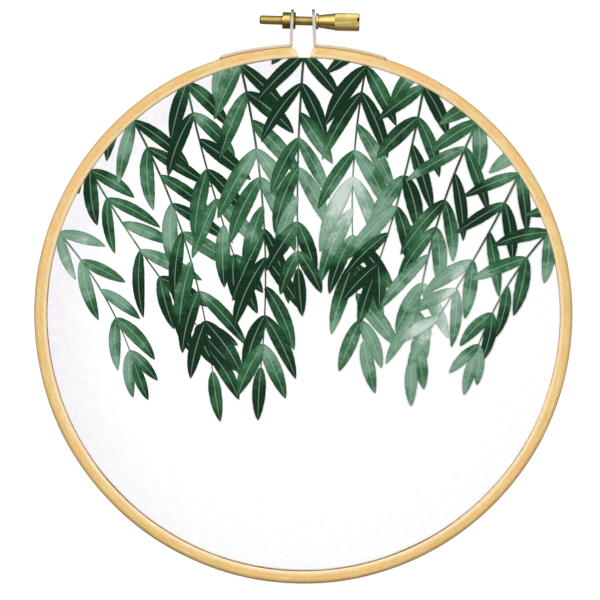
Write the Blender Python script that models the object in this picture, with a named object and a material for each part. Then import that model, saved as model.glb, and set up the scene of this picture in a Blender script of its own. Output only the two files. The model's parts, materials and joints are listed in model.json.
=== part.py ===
"""Hoop art: a cloth stretched in a wooden embroidery hoop, lying on its back with its face up.

+Z leaves the cloth's face, +Y points from the middle of the hoop to its tightening screw, and +X
is to the right of someone who looks at the face. The origin is on the surface that the hoop lies
on, under the middle of the whole thing's box, so the hoop's own centre is a little below it.
"""

import math

import bmesh
import bpy
from mathutils import Matrix, Vector

MM = 0.001
CLEARANCE = 0.3 * MM  # kept between two pieces that touch
OVERCUT = 1.0 * MM  # how far a cutter runs past what it cuts
TURN_STEPS = 96  # facets round the whole hoop
EASE_STEPS = 4  # facets along each eased end of the outer ring
ROUND_STEPS = 32  # facets round the screw and the nut's neck
HOLE_STEPS = 24
QUARTER_TURN = math.radians(90)

# Outer ring: a bent wooden strip, split under the screw
RING_RADIUS = 81.0 * MM
RING_WALL = 3.7 * MM
RING_DEPTH = 9.0 * MM
RING_INNER_RADIUS = RING_RADIUS - RING_WALL
RING_OUTER_ROUND = 1.2 * MM
RING_INNER_ROUND = 0.7 * MM
RING_BACK_ROUND = 0.7 * MM
SPLIT_LEFT_X = -1.5 * MM
SPLIT_RIGHT_X = 2.1 * MM
SPLIT_EASE = 1.1 * MM  # how far along the ring its ends are eased
SPLIT_OUTER_DROP = 1.3 * MM
SPLIT_SIDE_DROP = 0.3 * MM

# Cloth: a round sheet that turns down between the rings
CLOTH_THICKNESS = 1.0 * MM
CLOTH_BELOW_RING_FRONT = 0.3 * MM
CLOTH_TOP = RING_DEPTH - CLOTH_BELOW_RING_FRONT
CLOTH_RADIUS = RING_INNER_RADIUS - CLEARANCE
CLOTH_TRIM_HEIGHT = 1.0 * MM
CLOTH_BEND = 1.3 * MM

# Inner ring: a closed wooden ring under the cloth
INNER_RING_RADIUS = CLOTH_RADIUS - CLOTH_THICKNESS - CLEARANCE
INNER_RING_WALL = 3.5 * MM
INNER_RING_DEPTH = CLOTH_TOP - CLOTH_THICKNESS - CLEARANCE
INNER_RING_ROUND = 0.6 * MM

# Brackets: a metal strip on each end of the outer ring, turned up into an ear
SHEET = 0.85 * MM
BRACKET_WIDTH = 7.0 * MM
STRIP_PROUD = 0.5 * MM
STRIP_RADIUS = RING_RADIUS + STRIP_PROUD - SHEET / 2
STRIP_END_X = 24.9 * MM
STRIP_STEPS = 8
REBATE_RADIUS = STRIP_RADIUS - SHEET / 2 - CLEARANCE
REBATE_PAST_STRIP = 0.5 * MM
EAR_X = 3.3 * MM  # at the screw; the ears lean in a little towards each other
EAR_FOOT_X = 3.6 * MM
EAR_BEND = 0.9 * MM
PRONG_DEPTH = 2.4 * MM
PRONG_WIDTH = 3.0 * MM
PRONG_BEND = 0.6 * MM

# Screw, and the threaded nut that is clinched in the left ear
SCREW_Y = 88.57 * MM
SCREW_Z = RING_DEPTH / 2
SCREW_TILT = math.radians(-1.55)  # the head sits a little lower than the rod's end
EAR_TOP_Y = SCREW_Y + BRACKET_WIDTH / 2
ROD_RADIUS = 1.3 * MM
ROD_END_X = -13.12 * MM
ROD_CHAMFER = 0.45 * MM
HOLE_RADIUS = ROD_RADIUS + CLEARANCE
COLLAR_RADIUS = 2.4 * MM
COLLAR_START_X = 4.1 * MM
COLLAR_END_X = 4.7 * MM
CONE_START_RADIUS = 1.9 * MM
CONE_END_RADIUS = 2.5 * MM
HEAD_START_X = 9.5 * MM
HEAD_END_X = 17.05 * MM
HEAD_RADIUS = 2.7 * MM
HEAD_CHAMFER = 0.3 * MM
KNURLS = 24
KNURL_DEPTH = 0.22 * MM
SLOT_WIDTH = 1.2 * MM
SLOT_DEPTH = 0.8 * MM
SLOT_TURN = math.radians(-15.5)
NUT_CORNER_RADIUS = 2.5 * MM
NUT_LENGTH = 2.2 * MM
NUT_CHAMFER = 0.25 * MM
NECK_IN_NUT = 0.5 * MM
NECK_RADIUS = 2.05 * MM
NECK_HOLE_RADIUS = NECK_RADIUS + CLEARANCE
FLANGE_RADIUS = 2.6 * MM
FLANGE_THICKNESS = 0.5 * MM

HOOP_CENTRE_Y = -(EAR_TOP_Y - RING_RADIUS) / 2


def clear_scene():
    """Removes whatever the scene holds."""
    for obj in list(bpy.data.objects):
        bpy.data.objects.remove(obj)


def finish_material(name, colour, roughness, metallic=0.0):
    """A plain material with one colour."""
    material = bpy.data.materials.new(name)
    material.use_nodes = True
    shader = material.node_tree.nodes["Principled BSDF"]
    shader.inputs["Base Color"].default_value = (*colour, 1.0)
    shader.inputs["Roughness"].default_value = roughness
    shader.inputs["Metallic"].default_value = metallic
    return material


def add_object(name, bm, material, parent, smooth_under=35):
    """Turns a bmesh into a named object whose gentle edges are shaded smooth."""
    bmesh.ops.recalc_face_normals(bm, faces=bm.faces)
    mesh = bpy.data.meshes.new(name)
    bm.to_mesh(mesh)
    bm.free()
    mesh.shade_smooth()
    mesh.set_sharp_from_angle(angle=math.radians(smooth_under))
    obj = bpy.data.objects.new(name, mesh)
    bpy.context.scene.collection.objects.link(obj)
    if material:
        mesh.materials.append(material)
    obj.parent = parent
    return obj


def hide_cutter(obj):
    """Marks an object as a cutter, which isn't part of the model."""
    obj.hide_render = True
    obj.display_type = "WIRE"
    return obj


def add_boolean(obj, cutter, operation):
    """Joins, cuts or trims an object by another with a Boolean modifier."""
    modifier = obj.modifiers.new(f"{operation.lower()} {cutter.name}", "BOOLEAN")
    modifier.operation = operation
    modifier.object = cutter


def corner_arc(centre, radius, start_deg, end_deg, steps):
    """Points of an arc in the plane, both ends included."""
    angles = [math.radians(start_deg + (end_deg - start_deg) * i / steps) for i in range(steps + 1)]
    return [(centre[0] + radius * math.cos(a), centre[1] + radius * math.sin(a)) for a in angles]


def rounded_section(inner, outer, low, high, rounds, steps=3):
    """A ring's (radius, height) section with its four corners rounded.

    The corner rounds are given in order: outer back, outer front, inner front, inner back. They
    shrink together where the wall is too thin for them.
    """
    fit = min(1.0, 0.95 * (outer - inner) / (rounds[1] + rounds[2]))
    points = []
    corners = ((outer, low, -1, 1), (outer, high, -1, -1), (inner, high, 1, -1), (inner, low, 1, 1))
    for index, ((r, z, to_r, to_z), size) in enumerate(zip(corners, rounds)):
        start = -90 + 90 * index
        centre = (r + to_r * size * fit, z + to_z * size * fit)
        points += corner_arc(centre, size * fit, start, start + 90, steps)
    return points


def loft_ring(sections, closed):
    """Joins (angle, section) pairs round the Z axis into one solid, with capped ends if open."""
    bm = bmesh.new()
    loops = []
    for angle, section in sections:
        spot = [Vector((r * math.cos(angle), r * math.sin(angle), z)) for r, z in section]
        loops.append([bm.verts.new(p) for p in spot])
    pairs = list(zip(loops, loops[1:] + loops[:1] if closed else loops[1:]))
    for first, second in pairs:
        for i in range(len(first)):
            j = (i + 1) % len(first)
            bm.faces.new((first[i], first[j], second[j], second[i]))
    if not closed:
        bm.faces.new(loops[0])
        bm.faces.new(reversed(loops[-1]))
    return bm


def turned_solid(profile, steps, axis):
    """Spins a closed profile of (radius, along) points round an axis through the origin.

    Points on the axis are merged. The axis is "X" or "Z".
    """
    bm = bmesh.new()
    verts = [bm.verts.new((r, 0, along)) for r, along in profile]
    edges = [bm.edges.new((verts[i], verts[(i + 1) % len(verts)])) for i in range(len(verts))]
    spun = {"cent": (0, 0, 0), "axis": (0, 0, 1), "angle": math.tau, "steps": steps, "use_merge": True}
    bmesh.ops.spin(bm, geom=verts + edges, **spun)
    bmesh.ops.remove_doubles(bm, verts=bm.verts, dist=0.0005 * MM)
    loose = [e for e in bm.edges if not e.link_faces]
    bmesh.ops.delete(bm, geom=loose, context="EDGES")
    if axis == "X":
        turn = Matrix.Rotation(QUARTER_TURN, 3, "Y")
        bmesh.ops.rotate(bm, verts=bm.verts, cent=(0, 0, 0), matrix=turn)
    return bm


def prism(outline, start, length, direction):
    """Extrudes a closed outline of 3-D points, moved by start, along a direction."""
    bm = bmesh.new()
    verts = [bm.verts.new(Vector(p) + Vector(start)) for p in outline]
    face = bm.faces.new(verts)
    grown = bmesh.ops.extrude_face_region(bm, geom=[face])
    moved = [g for g in grown["geom"] if isinstance(g, bmesh.types.BMVert)]
    bmesh.ops.translate(bm, verts=moved, vec=Vector(direction) * length)
    return bm


def offset_path(points, distance):
    """Shifts an open path in the plane to its left, with mitred corners."""
    shifted = []
    for i, point in enumerate(points):
        before = Vector(point) - Vector(points[i - 1]) if i else None
        after = Vector(points[i + 1]) - Vector(point) if i + 1 < len(points) else None
        normals = [Vector((-d.y, d.x)).normalized() for d in (before, after) if d]
        mean = sum(normals, Vector((0, 0))).normalized()
        shifted.append(Vector(point) + mean * distance / mean.dot(normals[0]))
    return shifted


def strip_covers(angle):
    """True where a bracket's strip lies on the outer ring at this angle."""
    half = math.asin((STRIP_END_X + REBATE_PAST_STRIP) / STRIP_RADIUS)
    return abs((angle % math.tau) - math.tau / 4) < half


def build_outer_ring(material, parent):
    """The split ring, with a shallow rebate under each strip and eased ends."""
    middle = RING_RADIUS - RING_WALL / 2
    start = math.tau / 4 - math.asin(SPLIT_LEFT_X / middle)
    end = math.tau * 5 / 4 - math.asin(SPLIT_RIGHT_X / middle)
    ease = SPLIT_EASE / middle
    half_rebate = math.asin((STRIP_END_X + REBATE_PAST_STRIP) / STRIP_RADIUS)
    step = math.radians(0.05)
    angles = [start + ease + (end - start - 2 * ease) * i / TURN_STEPS for i in range(TURN_STEPS + 1)]
    for edge in (math.tau / 4 + half_rebate, math.tau * 5 / 4 - half_rebate):
        angles += [edge - step, edge + step]
    for i in range(EASE_STEPS):
        angles += [start + ease * i / EASE_STEPS, end - ease * i / EASE_STEPS]
    rounds = (RING_BACK_ROUND, RING_OUTER_ROUND, RING_INNER_ROUND, RING_BACK_ROUND)
    sections = []
    for angle in sorted(angles):
        from_end = min(1.0, min(angle - start, end - angle) / ease)
        drop = 1.0 - math.sqrt(1.0 - (1.0 - from_end) ** 2)
        outer = (REBATE_RADIUS if strip_covers(angle) else RING_RADIUS) - SPLIT_OUTER_DROP * drop
        side = SPLIT_SIDE_DROP * drop
        section = rounded_section(RING_INNER_RADIUS + side, outer, side, RING_DEPTH - side, rounds)
        sections.append((angle, section))
    ring = add_object("outer_ring", loft_ring(sections, closed=False), material, parent)
    for side in (-1, 1):
        add_boolean(ring, prong_slit(side, parent), "DIFFERENCE")
    return ring


def build_inner_ring(material, parent):
    """The closed ring that carries the cloth."""
    inner = INNER_RING_RADIUS - INNER_RING_WALL
    rounds = (INNER_RING_ROUND,) * 4
    section = rounded_section(inner, INNER_RING_RADIUS, 0.0, INNER_RING_DEPTH, rounds, steps=2)
    sections = [(math.tau * i / TURN_STEPS, section) for i in range(TURN_STEPS)]
    return add_object("inner_ring", loft_ring(sections, closed=True), material, parent)


def build_cloth(material, parent):
    """The sheet: a flat disc over the inner ring whose rim turns down between the rings."""
    underside = CLOTH_TOP - CLOTH_THICKNESS
    inner_radius = CLOTH_RADIUS - CLOTH_THICKNESS
    inner_bend = CLOTH_BEND - CLOTH_THICKNESS
    bend_centre = (CLOTH_RADIUS - CLOTH_BEND, CLOTH_TOP - CLOTH_BEND)
    profile = [(0.0, underside), (0.0, CLOTH_TOP)]
    profile += corner_arc(bend_centre, CLOTH_BEND, 90, 0, 4)
    profile += [(CLOTH_RADIUS, CLOTH_TRIM_HEIGHT), (inner_radius, CLOTH_TRIM_HEIGHT)]
    profile += corner_arc(bend_centre, inner_bend, 0, 90, 2)
    return add_object("cloth", turned_solid(profile, TURN_STEPS, "Z"), material, parent)


def strip_angle(side):
    """The angle, round the hoop, of a strip's far end."""
    return math.tau / 4 - side * math.asin(STRIP_END_X / STRIP_RADIUS)


def bracket_path(side):
    """The middle line of a bracket in plan: prong, strip along the ring, bend and ear."""
    far = strip_angle(side)
    outward = Vector((math.cos(far), math.sin(far)))
    along = Vector((-outward.y, outward.x)) * side
    corner = outward * (STRIP_RADIUS - PRONG_BEND)
    points = [corner - outward * (PRONG_DEPTH - PRONG_BEND)]
    points += [
        corner + along * PRONG_BEND * (1 - math.cos(t)) + outward * PRONG_BEND * math.sin(t)
        for t in (math.radians(a) for a in (0, 30, 60, 90))
    ]
    near = math.tau / 4 - side * math.asin((EAR_FOOT_X + EAR_BEND) / STRIP_RADIUS)
    first = far + side * PRONG_BEND / STRIP_RADIUS
    for i in range(1, STRIP_STEPS + 1):
        a = first + (near - first) * i / STRIP_STEPS
        points.append(Vector((math.cos(a), math.sin(a))) * STRIP_RADIUS)
    foot = Vector((side * (EAR_FOOT_X + EAR_BEND), points[-1].y + EAR_BEND))
    points += [
        foot + Vector((-side * EAR_BEND * math.sin(t), -EAR_BEND * math.cos(t)))
        for t in (math.radians(a) for a in (30, 60, 90))
    ]
    lean = (EAR_FOOT_X - EAR_X) / (SCREW_Y - foot.y)
    tip_y = EAR_TOP_Y + SHEET
    points.append(Vector((side * (EAR_FOOT_X - lean * (tip_y - foot.y)), tip_y)))
    return points


def prong_block(name, side, middle, height, half_thickness, start_radius, reach, parent):
    """A cutter at a bracket's prong: a block that grows outwards from a radius of the hoop."""
    outward = Vector((math.cos(strip_angle(side)), math.sin(strip_angle(side)), 0))
    across = Vector((-outward.y, outward.x, 0)) * half_thickness
    up = Vector((0, 0, height / 2))
    corners = [across * s + up * t for s, t in ((-1, -1), (1, -1), (1, 1), (-1, 1))]
    bm = prism(corners, outward * start_radius + Vector((0, 0, middle)), reach, outward)
    return hide_cutter(add_object(name, bm, None, parent))


def prong_slit(side, parent):
    """The cutter that makes a bracket's prong its slit in the ring."""
    height = PRONG_WIDTH + 2 * CLEARANCE
    half_thickness = SHEET / 2 + CLEARANCE
    reach = PRONG_DEPTH + CLEARANCE
    name = f"prong_slit_{side}"
    start = STRIP_RADIUS - reach
    return prong_block(name, side, RING_DEPTH / 2, height, half_thickness, start, reach + SHEET, parent)


def prong_trimmer(side, level, parent):
    """The cutter that narrows a prong, above its middle at level 1 and below it at level -1."""
    middle = RING_DEPTH / 2 + level * (PRONG_WIDTH + BRACKET_WIDTH) / 2
    reach = PRONG_DEPTH + SHEET
    start = STRIP_RADIUS - SHEET / 2 - CLEARANCE / 2 - reach
    name = f"prong_trimmer_{side}_{level}"
    return prong_block(name, side, middle, BRACKET_WIDTH, 2 * SHEET, start, reach, parent)


def ear_outline(parent):
    """The trimmer that gives both brackets their width and round ear tops, seen from the side."""
    half = BRACKET_WIDTH / 2
    low = RING_INNER_RADIUS - RING_RADIUS
    outline = [(0, low, -half)]
    arc = corner_arc((SCREW_Y, 0), half, -90, 90, 16)
    outline += [(0, y, z) for y, z in arc]
    outline.append((0, low, half))
    width = 2 * RING_RADIUS
    bm = prism(outline, (-width / 2, 0, RING_DEPTH / 2), width, (1, 0, 0))
    return hide_cutter(add_object("ear_outline", bm, None, parent))


def on_screw_axis(obj, along=0.0):
    """Puts an object that was made about the X axis on the screw's axis, which leans a little."""
    obj.rotation_euler.z = SCREW_TILT
    across = math.sin(SCREW_TILT) * along
    obj.location = (math.cos(SCREW_TILT) * along, SCREW_Y + across, SCREW_Z)
    return obj


def screw_hole(name, radius, x, length, parent):
    """A round cutter along the screw's axis, centred at x."""
    half = length / 2
    bm = turned_solid([(0, -half), (0, half), (radius, half), (radius, -half)], HOLE_STEPS, "X")
    return on_screw_axis(hide_cutter(add_object(name, bm, None, parent)), x)


def build_bracket(name, side, hole_radius, trimmer, material, parent):
    """One bracket: a prong in the wood, a strip along the ring and an ear with the screw's hole."""
    path = bracket_path(side)
    outline = offset_path(path, SHEET / 2) + list(reversed(offset_path(path, -SHEET / 2)))
    flat = [(p.x, p.y, 0) for p in outline]
    bm = prism(flat, (0, 0, -OVERCUT), RING_DEPTH + 2 * OVERCUT, (0, 0, 1))
    bracket = add_object(name, bm, material, parent)
    add_boolean(bracket, trimmer, "INTERSECT")
    for level in (-1, 1):
        add_boolean(bracket, prong_trimmer(side, level, parent), "DIFFERENCE")
    hole = screw_hole(f"{name}_hole", hole_radius, side * EAR_X, 4 * SHEET, parent)
    add_boolean(bracket, hole, "DIFFERENCE")
    return bracket


def build_nut(material, parent):
    """The hexagonal nut outside the left ear, clinched through it to a flange inside."""
    ear_outside = -EAR_X - SHEET / 2
    ear_inside = -EAR_X + SHEET / 2
    body_right = ear_outside - CLEARANCE
    placed = Matrix.Translation((body_right - NUT_LENGTH / 2, 0, 0))
    bm = bmesh.new()
    bmesh.ops.create_cone(
        bm,
        cap_ends=True,
        segments=6,
        radius1=NUT_CORNER_RADIUS,
        radius2=NUT_CORNER_RADIUS,
        depth=NUT_LENGTH,
        matrix=placed @ Matrix.Rotation(QUARTER_TURN, 4, "Y"),
    )
    bmesh.ops.bevel(bm, geom=list(bm.edges), offset=NUT_CHAMFER, segments=1, affect="EDGES")
    nut = on_screw_axis(add_object("clinch_nut", bm, material, parent))
    flange_left = ear_inside + CLEARANCE
    neck = [
        (0, body_right - NECK_IN_NUT),
        (NECK_RADIUS, body_right - NECK_IN_NUT),
        (NECK_RADIUS, flange_left),
        (FLANGE_RADIUS, flange_left),
        (FLANGE_RADIUS, flange_left + FLANGE_THICKNESS),
        (0, flange_left + FLANGE_THICKNESS),
    ]
    collar = hide_cutter(add_object("clinch_neck", turned_solid(neck, ROUND_STEPS, "X"), None, parent))
    on_screw_axis(collar)
    add_boolean(nut, collar, "UNION")
    add_boolean(nut, screw_hole("nut_bore", HOLE_RADIUS, -EAR_X, 4 * NUT_LENGTH, parent), "DIFFERENCE")
    return nut


def knurled_head():
    """The screw's grip: a cylinder with straight knurls and chamfered ends, along X."""
    bm = bmesh.new()
    ends = (
        (HEAD_START_X, HEAD_CHAMFER),
        (HEAD_START_X + HEAD_CHAMFER, 0.0),
        (HEAD_END_X - HEAD_CHAMFER, 0.0),
        (HEAD_END_X, HEAD_CHAMFER),
    )
    loops = []
    for x, inset in ends:
        loop = []
        for i in range(2 * KNURLS):
            a = math.pi * i / KNURLS
            r = HEAD_RADIUS - inset - (KNURL_DEPTH if i % 2 else 0.0)
            loop.append(bm.verts.new((x, r * math.cos(a), r * math.sin(a))))
        loops.append(loop)
    for first, second in zip(loops, loops[1:]):
        for i in range(2 * KNURLS):
            j = (i + 1) % (2 * KNURLS)
            bm.faces.new((first[i], first[j], second[j], second[i]))
    bm.faces.new(loops[0])
    bm.faces.new(reversed(loops[-1]))
    return bm


def build_screw(material, parent):
    """The screw: rod, collar, cone and knurled head with a slot in its end."""
    into_head = HEAD_START_X + OVERCUT
    profile = [
        (0, ROD_END_X),
        (ROD_RADIUS - ROD_CHAMFER, ROD_END_X),
        (ROD_RADIUS, ROD_END_X + ROD_CHAMFER),
        (ROD_RADIUS, COLLAR_START_X),
        (COLLAR_RADIUS, COLLAR_START_X),
        (COLLAR_RADIUS, COLLAR_END_X),
        (CONE_START_RADIUS, COLLAR_END_X),
        (CONE_END_RADIUS, HEAD_START_X),
        (CONE_END_RADIUS, into_head),
        (0, into_head),
    ]
    screw = add_object("tightening_screw", turned_solid(profile, ROUND_STEPS, "X"), material, parent)
    on_screw_axis(screw)
    head = hide_cutter(add_object("screw_head", knurled_head(), None, parent))
    on_screw_axis(head)
    add_boolean(screw, head, "UNION")
    half = SLOT_WIDTH / 2
    slot_length = 4 * HEAD_RADIUS
    corners = ((-SLOT_DEPTH, -half), (OVERCUT, -half), (OVERCUT, half), (-SLOT_DEPTH, half))
    across = [(x, y, -slot_length / 2) for x, y in corners]
    bm = prism(across, (HEAD_END_X, 0, 0), slot_length, (0, 0, 1))
    slot = hide_cutter(add_object("driver_slot", bm, None, parent))
    on_screw_axis(slot)
    slot.rotation_euler.x = SLOT_TURN
    add_boolean(screw, slot, "DIFFERENCE")
    return screw


def main():
    """Builds the hoop, its cloth and its hardware."""
    clear_scene()
    outer_wood = finish_material("outer_ring_wood", (0.85, 0.60, 0.28), 0.5)
    inner_wood = finish_material("inner_ring_wood", (0.80, 0.57, 0.29), 0.6)
    cloth = finish_material("cloth", (0.96, 0.96, 0.97), 0.9)
    steel = finish_material("bracket_steel", (0.66, 0.65, 0.63), 0.35, 1.0)
    nut_brass = finish_material("nut_brass", (0.72, 0.55, 0.22), 0.3, 1.0)
    screw_brass = finish_material("screw_brass", (0.78, 0.60, 0.25), 0.28, 1.0)
    hoop = bpy.data.objects.new("hoop_centre", None)
    bpy.context.scene.collection.objects.link(hoop)
    hoop.location = (0, HOOP_CENTRE_Y, 0)
    build_outer_ring(outer_wood, hoop)
    build_inner_ring(inner_wood, hoop)
    build_cloth(cloth, hoop)
    trimmer = ear_outline(hoop)
    build_bracket("bracket_left", -1, NECK_HOLE_RADIUS, trimmer, steel, hoop)
    build_bracket("bracket_right", 1, HOLE_RADIUS, trimmer, steel, hoop)
    build_nut(nut_brass, hoop)
    build_screw(screw_brass, hoop)


main()
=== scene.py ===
"""Looks of a printed cloth stretched in a round wooden embroidery hoop with a brass screw."""
import sys
import json
import logging
import math
import random
from dataclasses import dataclass
from enum import Enum
from typing import Callable

import bmesh
import bpy
from mathutils import Matrix, Vector, noise


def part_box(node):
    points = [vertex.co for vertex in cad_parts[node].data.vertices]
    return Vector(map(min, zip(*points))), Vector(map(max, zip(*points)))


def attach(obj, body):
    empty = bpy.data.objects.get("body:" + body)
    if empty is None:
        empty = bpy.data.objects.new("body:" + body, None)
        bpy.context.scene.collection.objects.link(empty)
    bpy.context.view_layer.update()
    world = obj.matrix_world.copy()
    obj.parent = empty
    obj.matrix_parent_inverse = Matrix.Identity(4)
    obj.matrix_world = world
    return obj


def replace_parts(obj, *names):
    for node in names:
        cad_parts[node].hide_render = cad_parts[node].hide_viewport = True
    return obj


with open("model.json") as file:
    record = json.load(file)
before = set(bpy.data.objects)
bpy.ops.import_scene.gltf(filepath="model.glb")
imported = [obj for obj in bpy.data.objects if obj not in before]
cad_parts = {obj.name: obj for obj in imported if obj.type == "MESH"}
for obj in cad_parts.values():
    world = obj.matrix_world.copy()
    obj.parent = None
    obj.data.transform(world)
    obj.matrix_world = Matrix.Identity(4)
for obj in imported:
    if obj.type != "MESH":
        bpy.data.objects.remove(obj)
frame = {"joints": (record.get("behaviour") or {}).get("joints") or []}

MM = 0.001
QUARTER = math.pi / 2
LOG = logging.getLogger("hoop")

Colour = tuple[float, float, float]
Section = list[tuple[float, float]]
Socket = bpy.types.NodeSocket
Loop = list[Vector]
Stroke = tuple[list[Vector], list[float]]
RadiusRule = Callable[[float, float, float], float]


class Side(Enum):
    """The left or right end of the split ring, as a sign along X."""

    LEFT = -1
    RIGHT = 1


class Metal(Enum):
    """How a metal surface was last worked."""

    ROLLED = "rolled"
    TURNED = "turned"


class Cap(Enum):
    """How the ends of a loft are closed."""

    FACE = "face"
    POINT = "point"
    JOINED = "joined"


def linear(red: float, green: float, blue: float) -> Colour:
    """Turns a colour of 0 to 255 as seen on a screen into a linear one.

    Args:
        red: The red value.
        green: The green value.
        blue: The blue value.

    Returns:
        The linear colour, each value from 0 to 1.
    """
    shares = (red / 255, green / 255, blue / 255)
    return tuple(s / 12.92 if s <= 0.04045 else ((s + 0.055) / 1.055) ** 2.4 for s in shares)


def smooth(value: float, low: float, high: float) -> float:
    """Eases from 0 at low to 1 at high.

    Args:
        value: The number to place between the two.
        low: Where the step starts.
        high: Where it ends.

    Returns:
        A share from 0 to 1.
    """
    t = min(1.0, max(0.0, (value - low) / (high - low)))
    return t * t * (3 - 2 * t)


def wander(angle: float, waves: float, seed: float) -> float:
    """A smooth value from about -1 to 1 that closes on itself round the hoop.

    Args:
        angle: The angle round the hoop, in radians.
        waves: How quickly it changes.
        seed: Which of many such lines.

    Returns:
        The value at that angle.
    """
    return 2 * noise.noise(Vector((math.cos(angle) * waves, math.sin(angle) * waves, seed)))


# Meshes


class MeshShape:
    """Points and faces of one mesh while it is laid out, with an optional vector on each point."""

    def __init__(self) -> None:
        """Starts with nothing laid out."""
        self.points: list[Vector] = []
        self.faces: list[tuple[int, ...]] = []
        self.places: list[tuple[float, float, float]] = []

    def add_loop(self, loop: Loop) -> list[int]:
        """Adds points and gives their numbers.

        Args:
            loop: The points.

        Returns:
            Their numbers in this shape.
        """
        first = len(self.points)
        self.points += loop
        return list(range(first, first + len(loop)))

    def add_loft(self, loops: list[Loop], cap: Cap) -> "MeshShape":
        """Joins closed loops of the same count into a skin.

        Args:
            loops: The loops, in order along the skin.
            cap: How its two ends are closed.

        Returns:
            This shape.
        """
        rings = [self.add_loop(loop) for loop in loops]
        count = len(rings[0])
        pairs = list(zip(rings, rings[1:]))
        if cap is Cap.JOINED:
            pairs.append((rings[-1], rings[0]))
        for first, second in pairs:
            for i in range(count):
                j = (i + 1) % count
                self.faces.append((first[i], first[j], second[j], second[i]))
        if cap is Cap.FACE:
            self.faces += [tuple(reversed(rings[0])), tuple(rings[-1])]
        if cap is Cap.POINT:
            for ring, turned in ((rings[0], True), (rings[-1], False)):
                middle = sum((self.points[i] for i in ring), Vector()) / count
                hub = self.add_loop([middle])[0]
                for i in range(count):
                    j = (i + 1) % count
                    pair = (ring[j], ring[i]) if turned else (ring[i], ring[j])
                    self.faces.append((*pair, hub))
        return self

    def add_patch(self, rows: list[Loop], places: list[list[tuple[float, float, float]]]) -> None:
        """Adds an open grid of points with a vector on each.

        Args:
            rows: The rows of points.
            places: The vectors, row by row.
        """
        numbers = [self.add_loop(row) for row in rows]
        for row in places:
            self.places += row
        for first, second in zip(numbers, numbers[1:]):
            for i in range(len(first) - 1):
                self.faces.append((first[i], first[i + 1], second[i + 1], second[i]))

    def to_object(
        self, name: str, material: bpy.types.Material, smooth_under: float
    ) -> bpy.types.Object:
        """Makes a Blender object of the shape.

        Args:
            name: The piece's name.
            material: Its finish.
            smooth_under: Edges that turn less than this many degrees are shaded smooth.

        Returns:
            The object, at the origin.
        """
        mesh = bpy.data.meshes.new(name)
        mesh.from_pydata([tuple(p) for p in self.points], [], self.faces)
        if self.places:
            spots = mesh.attributes.new("leaf_place", "FLOAT_VECTOR", "POINT")
            spots.data.foreach_set("vector", [v for place in self.places for v in place])
        mesh.validate()
        mesh.shade_smooth()
        mesh.set_sharp_from_angle(angle=math.radians(smooth_under))
        mesh.materials.append(material)
        piece = bpy.data.objects.new(name, mesh)
        bpy.context.scene.collection.objects.link(piece)
        return piece


def arc(
    centre: tuple[float, float], radius: float, start: float, end: float, steps: int
) -> Section:
    """Points of an arc in a section, both ends included.

    Args:
        centre: Its middle.
        radius: Its radius.
        start: Its first angle in degrees.
        end: Its last angle in degrees.
        steps: How many parts it has.

    Returns:
        The points.
    """
    angles = [math.radians(start + (end - start) * i / steps) for i in range(steps + 1)]
    return [(centre[0] + radius * math.cos(a), centre[1] + radius * math.sin(a)) for a in angles]


def rounded_section(
    inner: float, outer: float, low: float, high: float, rounds: tuple[float, ...], steps: int
) -> Section:
    """A rectangle with rounded corners, laid out anticlockwise from its lower outer corner.

    Args:
        inner: Its lowest first coordinate.
        outer: Its highest first coordinate.
        low: Its lowest second coordinate.
        high: Its highest second coordinate.
        rounds: The corners' radii: outer low, outer high, inner high, inner low.
        steps: Parts in each corner.

    Returns:
        The points.
    """
    points: Section = []
    corners = ((outer, low, -1, 1), (outer, high, -1, -1), (inner, high, 1, -1), (inner, low, 1, 1))
    for index, ((r, z, to_r, to_z), size) in enumerate(zip(corners, rounds)):
        start = -90 + 90 * index
        points += arc((r + to_r * size, z + to_z * size), size, start, start + 90, steps)
    return points


def cut_by(piece: bpy.types.Object, cutter: bpy.types.Object) -> None:
    """Takes the cutter's shape out of a piece for good, and removes the cutter.

    Args:
        piece: The object that is cut.
        cutter: What is taken out of it.
    """
    modifier = piece.modifiers.new("cut", "BOOLEAN")
    modifier.operation, modifier.object = "DIFFERENCE", cutter
    settle(piece)
    bpy.data.objects.remove(cutter)


def settle(piece: bpy.types.Object) -> None:
    """Puts a piece's modifiers into its mesh.

    Args:
        piece: The object whose modifiers are applied.
    """
    graph = bpy.context.evaluated_depsgraph_get()
    mesh = bpy.data.meshes.new_from_object(piece.evaluated_get(graph))
    piece.modifiers.clear()
    piece.data = mesh


# Shader nodes


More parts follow.
